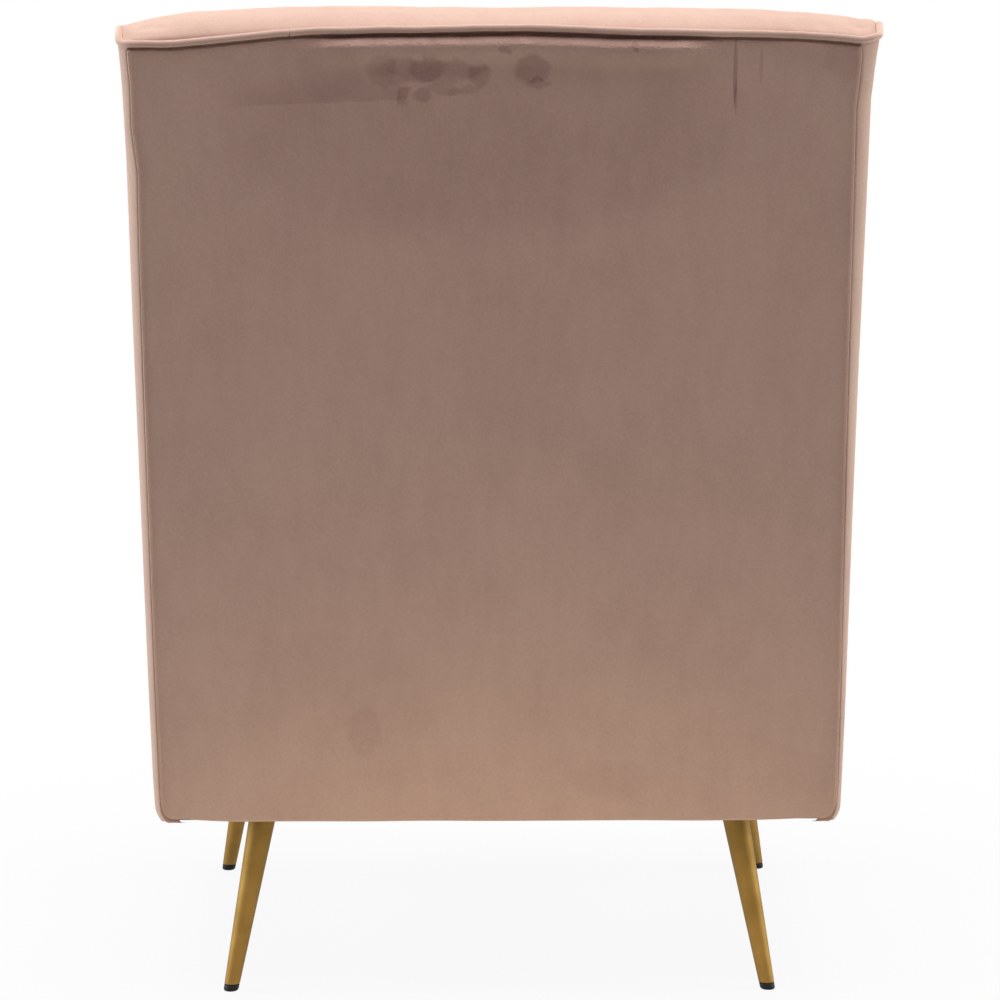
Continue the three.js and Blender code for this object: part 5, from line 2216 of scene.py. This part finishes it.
@dataclass
class Legs:
    """Four splayed, tapered brass legs with black glides in their feet."""

    body: ChairBody
    top_height: float = 165.5 * MM
    rear_foot: Pair = (244 * MM, 44 * MM)
    front_foot: Pair = (278 * MM, 564 * MM)
    side_splay: float = math.radians(10.4)
    shift: float = -3.8 * MM
    end_splay: float = math.radians(12)
    top_diameter: float = 25 * MM
    foot_diameter: float = 13.4 * MM
    glide_height: float = 6 * MM
    gap: float = 0.3 * MM
    sides: int = 48
    foot_round: float = 2.2 * MM

    def places(self) -> list[tuple[str, Vector, Vector]]:
        """Gives each leg's name, the middle of its foot, and its way up for each metre of height.

        Returns:
            The names, feet and ways.
        """
        made = []
        for end, (across, ahead), lean in (("front", self.front_foot, 1), ("rear", self.rear_foot, -1)):
            for side in Side:
                foot = Vector((side.value * across + self.shift, self.body.rear - ahead, 0))
                inward = -side.value * math.tan(self.side_splay)
                way = Vector((inward, lean * math.tan(self.end_splay), 1))
                made.append((f"{end}_{side.label}", foot, way))
        return made

    def _level_ring(self, foot: Vector, way: Vector, height: float, shrink: float = 0.0) -> Points:
        """Gives the ring in which a level plane cuts a leg's cone, or one a little thinner.

        Args:
            foot: The middle of the leg's foot.
            way: The way up the leg.
            height: The plane's height.
            shrink: How much thinner the ring is.

        Returns:
            The ring's points.
        """
        axis = way.normalized()
        side = axis.orthogonal().normalized()
        up = axis.cross(side)
        length = self.top_height * way.length
        grow = (self.top_diameter - self.foot_diameter) / 2 / length
        points = []
        for angle in np.arange(self.sides) / self.sides * 2 * math.pi:
            out = side * math.cos(angle) + up * math.sin(angle)
            start = self.foot_diameter / 2 - shrink
            along = (height - foot.z - start * out.z) / (axis.z + grow * out.z)
            points.append(foot + axis * along + out * (start + grow * along))
        return np.array(points)

    def build(self, brass: Material, plastic: Material) -> list[Piece]:
        """Builds the legs and their glides.

        Args:
            brass: The legs' finish.
            plastic: The glides' finish.

        Returns:
            The pieces.
        """
        made = []
        seat = self.glide_height + self.gap
        for name, foot, way in self.places():
            heights = [seat, seat + 0.4 * MM, *np.linspace(seat + 1 * MM, self.top_height - 1 * MM, 24)]
            rings = [self._level_ring(foot, way, heights[0], 0.5 * MM)]
            rings += [self._level_ring(foot, way, height) for height in [*heights[1:], self.top_height]]
            made.append(Skin.loft(f"brass_leg_{name}", rings).piece(brass, "brushed_brass"))
            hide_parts(f"leg_{name}")
            foot_rings = [
                self._level_ring(foot, way, self.foot_round * (1 - math.sin(angle)),
                                 self.foot_round * (1 - math.cos(angle)) + 0.1 * MM)
                for angle in np.linspace(0, math.pi / 2, 7)[::-1]
            ]
            foot_rings += [self._level_ring(foot, way, h, 0.1 * MM) for h in (4 * MM, 5.6 * MM)]
            foot_rings.append(self._level_ring(foot, way, self.glide_height, 0.5 * MM))
            made.append(Skin.loft(f"glide_cap_{name}", foot_rings).piece(plastic, "black_plastic"))
            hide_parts(f"glide_{name}")
        return made


@dataclass
class DustCover:
    """The black cloth under the frame, folded at its edges, stapled, and cut round the legs."""

    body: ChairBody
    legs: Legs
    half: float = 291.7 * MM
    front_inset: float = 16 * MM
    rear_ahead: float = 11.8 * MM
    height: float = 164.6 * MM
    hem: float = 14 * MM
    hem_drop: float = 0.5 * MM
    sag: float = 1.6 * MM
    sag_reach: float = 0.06
    thickness: float = 0.6 * MM
    hole: float = 13.6 * MM
    hole_sides: int = 32
    pitch: float = 11 * MM
    staple_inset: float = 7 * MM

    def _corner(self, across: float, front: bool, inset: float = 0.0) -> Pair:
        """Gives a corner of the cloth, or of a line inset from its edges.

        Args:
            across: How far the corner is from the middle plane.
            front: Whether it is a front corner.
            inset: How far in the line lies.

        Returns:
            Its place.
        """
        rear = (self.height - self.body.base) * math.tan(self.body.recline) - self.rear_ahead
        depth = self.front_inset - self.body.depth + inset if front else rear - inset
        across -= math.copysign(inset, across)
        point = self.body.splayed(np.array(across), np.array([depth, self.height]))
        return float(point[0]), float(point[1])

    def outline(self, inset: float = 0.0) -> list[Pair]:
        """Gives the corners in order round the cloth."""
        places = ((-1, True), (1, True), (1, False), (-1, False))
        return [self._corner(side * self.half, front, inset) for side, front in places]

    def edges(self, inset: float = 0.0) -> Iterator[tuple[Pair, Pair]]:
        """Gives the two corners of each edge, in order round the cloth."""
        corners = self.outline(inset)
        return zip(corners, corners[1:] + corners[:1])

    def _holes(self) -> list[Vector]:
        """Gives the middles of the legs where they pass the cloth."""
        return [foot + way * self.height for _, foot, way in self.legs.places()]

    def _edge_distance(self, x: float, y: float) -> float:
        """Gives the distance in from the nearest edge, negative outside.

        Args:
            x: The place across.
            y: The place along Y.

        Returns:
            The distance.
        """
        apart = []
        for (ax, ay), (bx, by) in self.edges():
            length = math.hypot(bx - ax, by - ay)
            apart.append(((bx - ax) * (y - ay) - (by - ay) * (x - ax)) / length)
        return min(apart)

    def _net(self) -> tuple[list[Pair], list[tuple[int, ...]]]:
        """Gives the cloth's flat points and triangles, with the holes left out.

        Returns:
            The points and the triangles.
        """
        corners, holes = self.outline(), self._holes()
        points: list[Vector] = []
        edges: list[tuple[int, int]] = []

        def add_loop(loop: Sequence[Pair]) -> None:
            """Adds a closed line that no triangle may cross."""
            start = len(points)
            points.extend(Vector(point) for point in loop)
            edges.extend((start + i, start + (i + 1) % len(loop)) for i in range(len(loop)))

        rim = []
        for a, b in self.edges():
            steps = int(math.dist(a, b) / self.pitch)
            rim += [
                (a[0] + (b[0] - a[0]) * i / steps, a[1] + (b[1] - a[1]) * i / steps) for i in range(steps)
            ]
        add_loop(rim)
        angles = [2 * math.pi * k / self.hole_sides for k in range(self.hole_sides)]
        for hole in holes:
            add_loop([
                (hole.x + self.hole * math.cos(a), hole.y + self.hole * math.sin(a)) for a in angles
            ])
        low = Vector((min(x for x, _ in corners), min(y for _, y in corners)))
        high = Vector((max(x for x, _ in corners), max(y for _, y in corners)))
        for x in np.arange(low.x, high.x, self.pitch):
            for y in np.arange(low.y, high.y, self.pitch):
                clear = all(math.hypot(x - hole.x, y - hole.y) > self.hole + 3 * MM for hole in holes)
                if clear and self._edge_distance(x, y) > 4 * MM:
                    points.append(Vector((x, y)))
        flat, _, faces, *_ = delaunay_2d_cdt(points, edges, [], 1, 1e-7)
        kept = []
        for face in faces:
            middle = sum((flat[i] for i in face), Vector((0, 0))) / 3
            if all((middle - hole.xy).length > self.hole - 0.3 * MM for hole in holes):
                kept.append(tuple(face))
        return [(point.x, point.y) for point in flat], kept

    def build(self, material: Material) -> Piece:
        """Builds the cloth.

        Args:
            material: Its finish.

        Returns:
            The piece.
        """
        flat, faces = self._net()
        points = []
        for x, y in flat:
            edge = self._edge_distance(x, y)
            wave = float(ripple(np.array(x + 0.3 * y), 45 * MM, 91) * ripple(np.array(y), 60 * MM, 92))
            slack = self.sag * (1 - math.exp(-max(0.0, edge - self.hem) / self.sag_reach))
            slack *= 1 + 0.5 * wave
            folded = self.hem_drop * (1 - min(1.0, max(0.0, (edge - self.hem) / (1 * MM))))
            points.append((x, y, self.height - slack - folded))
        skin = Skin("underside_cloth")
        skin.points, skin.faces, skin.count = [np.array(points)], faces, len(points)
        piece = skin.piece(material, "black_cambric")
        wall = piece.modifiers.new("thickness", "SOLIDIFY")
        wall.thickness = self.thickness
        wall.offset = 0.0
        applied(piece)
        corners = self.outline()
        area = sum((ax * by - bx * ay) / 2 for (ax, ay), (bx, by) in self.edges())
        area = abs(area) - len(self._holes()) * math.pi * self.hole ** 2
        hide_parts("dust_cover")
        return piece

    def staple_lines(self) -> list[Points]:
        """Gives the lines along which the hem is stapled.

        Returns:
            A line for each edge.
        """
        level = self.height - self.hem_drop - self.thickness / 2 - 0.2 * MM
        lines = []
        for a, b in self.edges(self.staple_inset):
            ends = np.array([[*a, level], [*b, level]])
            trimmed = ends + (ends[::-1] - ends) * 0.04
            lines.append(spaced(trimmed, 24))
        return lines


# Finishes of the frame, which the covers hide


@dataclass(frozen=True)
class FrameFinishes:
    """Gives every solid of the hidden frame its own finish."""

    beech: Colour = srgb(196, 154, 104)
    beech_shade: Colour = srgb(158, 112, 68)

    def _all(self) -> dict[str, Material]:
        """Builds the finishes, by the start of the names of the solids that they go on.

        Returns:
            The finishes.
        """
        upright, lengthwise, crosswise = (
            Grain(f"beech_{label}", self.beech, self.beech_shade, axis).build()
            for label, axis in (("upright", 2), ("lengthwise", 1), ("crosswise", 0))
        )
        zinc = MillSteel("zinc_plate", srgb(172, 176, 180), 5 * MM).build()
        return {
            "back_post": upright,
            "arm_post": upright,
            "side_seat_rail": lengthwise,
            "top_rail": crosswise,
            "lumbar_rail": crosswise,
            "rear_seat_rail": crosswise,
            "front_seat_rail": crosswise,
            "corner_block": crosswise,
            "arm_rail": Grain(
                "birch_plywood", srgb(214, 180, 132), srgb(176, 136, 88), 1, 3 * MM
            ).build(),
            "back_web": Weave("jute_web", srgb(92, 84, 74), srgb(58, 52, 46), 2.4 * MM).build(),
            "seat_spring": MillSteel("spring_wire", srgb(118, 120, 124), 3 * MM).build(),
            "spring_strip": zinc,
            "leg_plate": zinc,
            "leg_bolt": zinc,
            "spring_pad": Cellular("felt", srgb(150, 146, 138), srgb(104, 100, 94), 2.5 * MM).build(),
            "seat_deck": Cellular(
                "seat_foam", srgb(236, 224, 184), srgb(206, 190, 146), 1.4 * MM
            ).build(),
        }

    def dress(self) -> None:
        """Puts the finishes on the solids that stay in view."""
        finishes = self._all()
        for solid in bpy.data.objects:
            for start, material in finishes.items():
                if solid.name.startswith(start) and solid.type == "MESH":
                    for slot in solid.material_slots:
                        slot.link = "OBJECT"
                        slot.material = material
                    log.debug("%s is finished in %s", solid.name, material.name)


# Floor, light and camera


@dataclass(frozen=True)
class Lamp:
    """A soft lamp: where it hangs, what it points at, its width and height, its watts and its colour."""

    name: str
    place: Triple
    aim: Triple
    size: Pair
    power: float
    colour: Triple = (1.0, 1.0, 1.0)


@dataclass
class Studio:
    """A plain pale floor, soft lamps, and the camera that stands where the photographer did."""

    floor_size: float = 30.0
    paint: Colour = (0.62, 0.61, 0.6, 1.0)
    fill: Colour = (0.56, 0.6, 0.7, 1.0)
    white: Colour = (1.0, 1.0, 1.0, 1.0)
    near_white: float = 0.92
    fill_strength: float = 0.03
    lamps: tuple[Lamp, ...] = (
        Lamp("overhead", (0.0, 0.1, 2.6), (0.0, 0.1, 0.5), (2.4, 1.2), 51, (0.93, 1.0, 0.985)),
        Lamp("overhead_rear", (0.0, 1.2, 2.6), (0.0, 0.3, 0.5), (2.4, 1.2), 32.5, (0.98, 0.95, 1.0)),
        Lamp("side_left", (2.4, 0.0, 0.9), (0.0, 0.0, 0.5), (1.6, 1.8), 61, (0.84, 0.98, 1.0)),
        Lamp("side_right", (-2.4, 0.0, 0.9), (0.0, 0.0, 0.5), (1.6, 1.8), 52, (0.88, 1.0, 0.99)),
        Lamp("front", (0.0, -3.0, 1.6), (0.0, 0.0, 0.5), (2.0, 1.4), 24),
        Lamp("low_rear", (0.0, 0.42, 0.02), (0.0, 0.24, 0.16), (0.62, 0.05), 0.38, (1.0, 0.92, 0.62)),
    )
    lens: float = 129.5
    camera_place: Triple = (0.039, 3.375, 0.80)
    camera_pitch: float = math.radians(6.286)
    camera_yaw: float = math.radians(-0.773)

    def _seen(self, graph: ShaderGraph) -> Wire:
        """Gives 1 where a ray shows the background: from the camera, or off metal or glass.

        Args:
            graph: The floor's or the world's graph.

        Returns:
            The mask.
        """
        path = graph.node("ShaderNodeLightPath").socket.node
        camera, glossy, through = (
            Wire(graph, path.outputs[name])
            for name in ("Is Camera Ray", "Is Glossy Ray", "Is Transmission Ray")
        )
        return camera.highest(glossy).highest(through)

    def add_floor(self) -> None:
        """Lays the floor, which looks white and keeps a light shadow."""
        half = self.floor_size / 2
        mesh = bpy.data.meshes.new("floor")
        mesh.from_pydata([(-half, -half, 0), (half, -half, 0), (half, half, 0), (-half, half, 0)], [],
                         [(0, 1, 2, 3)])
        graph = ShaderGraph("pale_floor")
        paint = graph.node("ShaderNodeBsdfDiffuse", None, {"Color": self.paint})
        glow = graph.node("ShaderNodeEmission", None, {"Color": self.white, "Strength": 1.0})
        x, y, _ = graph.axes(graph.place())
        far = (x * x + y * y).step(0.25, 1.6)
        shown = graph.node("ShaderNodeMixShader", None, {
            0: self._seen(graph) * (self.near_white + far * (1 - self.near_white)), 1: paint, 2: glow,
        })
        # From below, the floor doesn't hide the chair's underside
        clear = graph.node("ShaderNodeBsdfTransparent")
        under = graph.node("ShaderNodeNewGeometry", output="Backfacing")
        either = graph.node("ShaderNodeMixShader", None, {0: under, 1: shown, 2: clear})
        mesh.materials.append(graph.end(either))
        linked("floor", mesh)

    def set_world(self) -> None:
        """Sets a dim even light all round, with white behind the chair."""
        world = bpy.data.worlds.new("studio")
        graph = ShaderGraph(world.name, world)
        fill = {"Color": self.fill, "Strength": self.fill_strength}
        around = graph.node("ShaderNodeBackground", None, fill)
        behind = graph.node("ShaderNodeBackground", None, {"Color": self.white, "Strength": 1.0})
        graph.end(graph.node("ShaderNodeMixShader", None, {0: self._seen(graph), 1: around, 2: behind}))
        bpy.context.scene.world = world

    def add_lamps(self) -> None:
        """Hangs the lamps: two overhead, one at each side, one before the chair, one low behind it."""
        for given in self.lamps:
            light = bpy.data.lights.new(given.name, "AREA")
            light.shape = "RECTANGLE"
            light.size, light.size_y = given.size
            light.energy, light.color = given.power, given.colour
            lamp = linked(given.name, light)
            lamp.location = given.place
            way = Vector(given.aim) - Vector(given.place)
            lamp.rotation_euler = way.to_track_quat("-Z", "Y").to_euler()
            lamp.visible_camera = False

    def add_camera(self) -> None:
        """Sets up the camera."""
        camera = bpy.data.cameras.new("camera")
        camera.lens = self.lens
        camera.sensor_width = 36.0
        holder = linked("camera", camera)
        holder.location = self.camera_place
        holder.rotation_euler = (math.pi / 2 - self.camera_pitch, 0.0, math.pi + self.camera_yaw)
        bpy.context.scene.camera = holder

    def build(self) -> None:
        """Sets up everything round the chair."""
        self.add_floor()
        self.set_world()
        self.add_lamps()
        self.add_camera()
        bpy.context.scene.view_settings.view_transform = "Standard"


@dataclass
class LoungeChair:
    """The whole chair: it builds the covers, welts, stitches, seat, legs and underside in order."""

    body: ChairBody
    right_insets: tuple = ((0, 0.0045), (0.06, 0.0037), (0.41, 0.0069), (0.757, 0.0106), (0.87, 0.0116),
                           (0.926, 0.0122), (1, 0.0108))
    left_insets: tuple = ((0, 0.005), (0.06, 0.0055), (0.41, 0.0064), (0.757, 0.0077), (0.847, 0.0088),
                          (0.9, 0.0058), (0.95, 0.0068), (1, 0.0062))
    right_spreads: tuple = ((0, 0.0052), (0.15, 0.0048), (0.4, 0.0026), (0.6, 0.0014), (0.8, 0.0008),
                            (0.925, 0.0002), (0.955, 0.0014), (0.985, 0.0014), (1, 0.0006))
    left_spreads: tuple = ((0, 0.0008), (0.06, 0.0018), (0.2, 0.002), (0.45, 0.0014), (0.65, 0.001),
                           (0.85, 0.0), (0.94, 0.0008), (0.985, 0.0014), (1, 0.001))
    marks: tuple[NapMark, ...] = (
        # This broad mark darkens the top of the back below the welt's band: partly painted shade, partly
        # the pile's darker tone
        NapMark(0.015, 0.80, 0.16, 0.085, 0.13, 2.4),
        NapMark(-0.0285, 0.828, 0.0135, 0.011, 0.3, 1.6),
        NapMark(-0.033, 0.8165, 0.009, 0.005, 0.24, 1.6),
        NapMark(0.057, 0.828, 0.044, 0.0095, 0.26, 1.5),
        NapMark(0.058, 0.829, 0.016, 0.011, 0.22),
        NapMark(0.0165, 0.823, 0.010, 0.010, 0.24),
        NapMark(0.097, 0.828, 0.012, 0.014, 0.16),
        NapMark(0.046, 0.8125, 0.016, 0.006, 0.18),
        NapMark(0.030, 0.811, 0.014, 0.004, 0.16),
        NapMark(0.064, 0.8055, 0.0072, 0.0064, 0.28),
        NapMark(0.0795, 0.806, 0.0068, 0.0085, 0.3),
        NapMark(0.14, 0.828, 0.024, 0.02, 0.08, 2.0),
        NapMark(-0.0055, 0.8435, 0.006, 0.004, 0.26),
        NapMark(-0.1134, 0.8485, 0.0045, 0.004, 0.3),
        NapMark(-0.1975, 0.826, 0.0016, 0.026, 0.4, 1.6),
        NapMark(-0.1985, 0.806, 0.0012, 0.014, 0.22, 1.6),
        NapMark(-0.219, 0.832, 0.0014, 0.014, 0.16, 1.6),
        NapMark(-0.288, 0.836, 0.012, 0.014, 0.1, 2.0),
        NapMark(0.117, 0.248, 0.012, 0.022, 0.1, 1.9),
        NapMark(-0.104, 0.203, 0.03, 0.016, 0.08, 1.8),
    )
    # The sweep darkens the cloth below the welt's band: partly painted shade, partly pile brushed the
    # other way
    sweeps: tuple[NapSweep, ...] = (NapSweep(((0.215, 0.798), (0.084, 0.803)), 0.032, 0.16),)
    seams: dict[Side, RearSeam] = field(init=False)

    def __post_init__(self) -> None:
        """Sets out the two rear seams."""
        self.seams = {
            Side.RIGHT: RearSeam(self.body, Side.RIGHT, self.right_insets, self.right_spreads),
            Side.LEFT: RearSeam(self.body, Side.LEFT, self.left_insets, self.left_spreads),
        }

    def _crumpled(self, graph: ShaderGraph, place: Wire) -> Wire:
        """Gives how crumpled the outside back is: most just below the top welt.

        Args:
            graph: The material's graph.
            place: The object's own coordinates.

        Returns:
            From 0 to 1, how crumpled it is.
        """
        x, _, z = graph.axes(place)
        arch = self.body.top_arch / self.body.cover_across ** 2 * math.cos(self.body.recline)
        seam = float(self.body.on_back(np.array(0.0), self.body.arch_rise(np.array(0.0)))[1])
        below = seam - x * x * arch - z
        return below.step(0.0, 6 * MM) * below.step(30 * MM, 9 * MM)

    def seam_path(self, side: Side) -> Points:
        """Gives the line of the blind stitches down one rear seam.

        Args:
            side: The side that the seam is on.

        Returns:
            The line's points.
        """
        rise = np.linspace(12 * MM, self.body.back_rise - 8 * MM, 220)
        across = self.seams[side].across(rise) + side.value * 0.25 * MM
        return self.body.on_back_splayed(across, np.full_like(rise, 0.1 * MM), rise)

    def channel_paths(self, back: InsideBack) -> list[Points]:
        """Gives the lines of stitching between the channels.

        Args:
            back: The inside back.

        Returns:
            A line for each seam.
        """
        paths = []
        width = 2 * back.half / back.channels
        low = 170 * MM
        for k in range(1, back.channels):
            across = k * width - back.half
            high = float(self.body.arch_rise(across)) - back.arch_drop + 18 * MM
            rise = np.linspace(back.bottom_rise + low, high, 90)
            share = (rise - back.bottom_rise) / (self.body.arch_rise(across) - back.bottom_rise)
            near, far = back.seam_depths
            ahead = near + (far - near) * share + 0.6 * MM
            paths.append(self.body.on_back_splayed(np.full_like(rise, across), ahead, rise))
        return paths

    def build(self) -> None:
        """Builds every piece."""
        velvet = Velvet().build()
        rear_velvet = Velvet(
            name="rear_velvet", marks=self.marks, sweeps=self.sweeps, creased=self._crumpled
        ).build()
        welt_velvet = Velvet(name="welt_velvet", colour=srgb(199, 163, 148), sheen=0.6).build()
        thread = Weave("thread", srgb(150, 116, 104), srgb(112, 82, 74), 0.3 * MM).build()
        OutsideBack(self.body, self.seams).build(rear_velvet)
        for side in Side:
            OutsideSide(self.body, self.seams[side]).build(velvet)
            SidePad(self.body, side).build(velvet)
        inside = InsideBack(self.body)
        inside.build(velvet)
        EdgeWelts(self.body).build(welt_velvet)
        seat = SeatCushion(self.body)
        seat.build(velvet)
        seat.build_welts(welt_velvet)
        FrontBorder(self.body).build(velvet)
        rows = [self.seam_path(side) for side in Side]
        StitchRow("rear_seam_stitches", Unit.THREAD, 4.2 * MM, "velvet").build(rows, thread)
        channels = self.channel_paths(inside)
        StitchRow("channel_stitches", Unit.THREAD, 3.6 * MM, "velvet", 5).build(channels, thread)
        legs = Legs(self.body)
        legs.build(BrushedBrass().build(), Moulded("black_plastic", srgb(9, 9, 10)).build())
        cover = DustCover(self.body, legs)
        cover.build(Weave("black_cambric", srgb(40, 40, 43), srgb(18, 18, 20), 1.1 * MM).build())
        wire = MillSteel("staple_wire", srgb(150, 152, 156), 4 * MM).build()
        StitchRow("hem_staples", Unit.STAPLE, 24 * MM, "zinc_steel", 7).build(cover.staple_lines(), wire)


def main() -> None:
    """Builds the chair and the studio."""
    logging.basicConfig(level=logging.INFO, format="%(message)s")
    rear = CAD_BOX[0].y + ChairBody(0.0).depth
    LoungeChair(ChairBody(rear)).build()
    FrameFinishes().dress()
    Studio().build()
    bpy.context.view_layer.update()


if __name__ == "__main__":
    main()
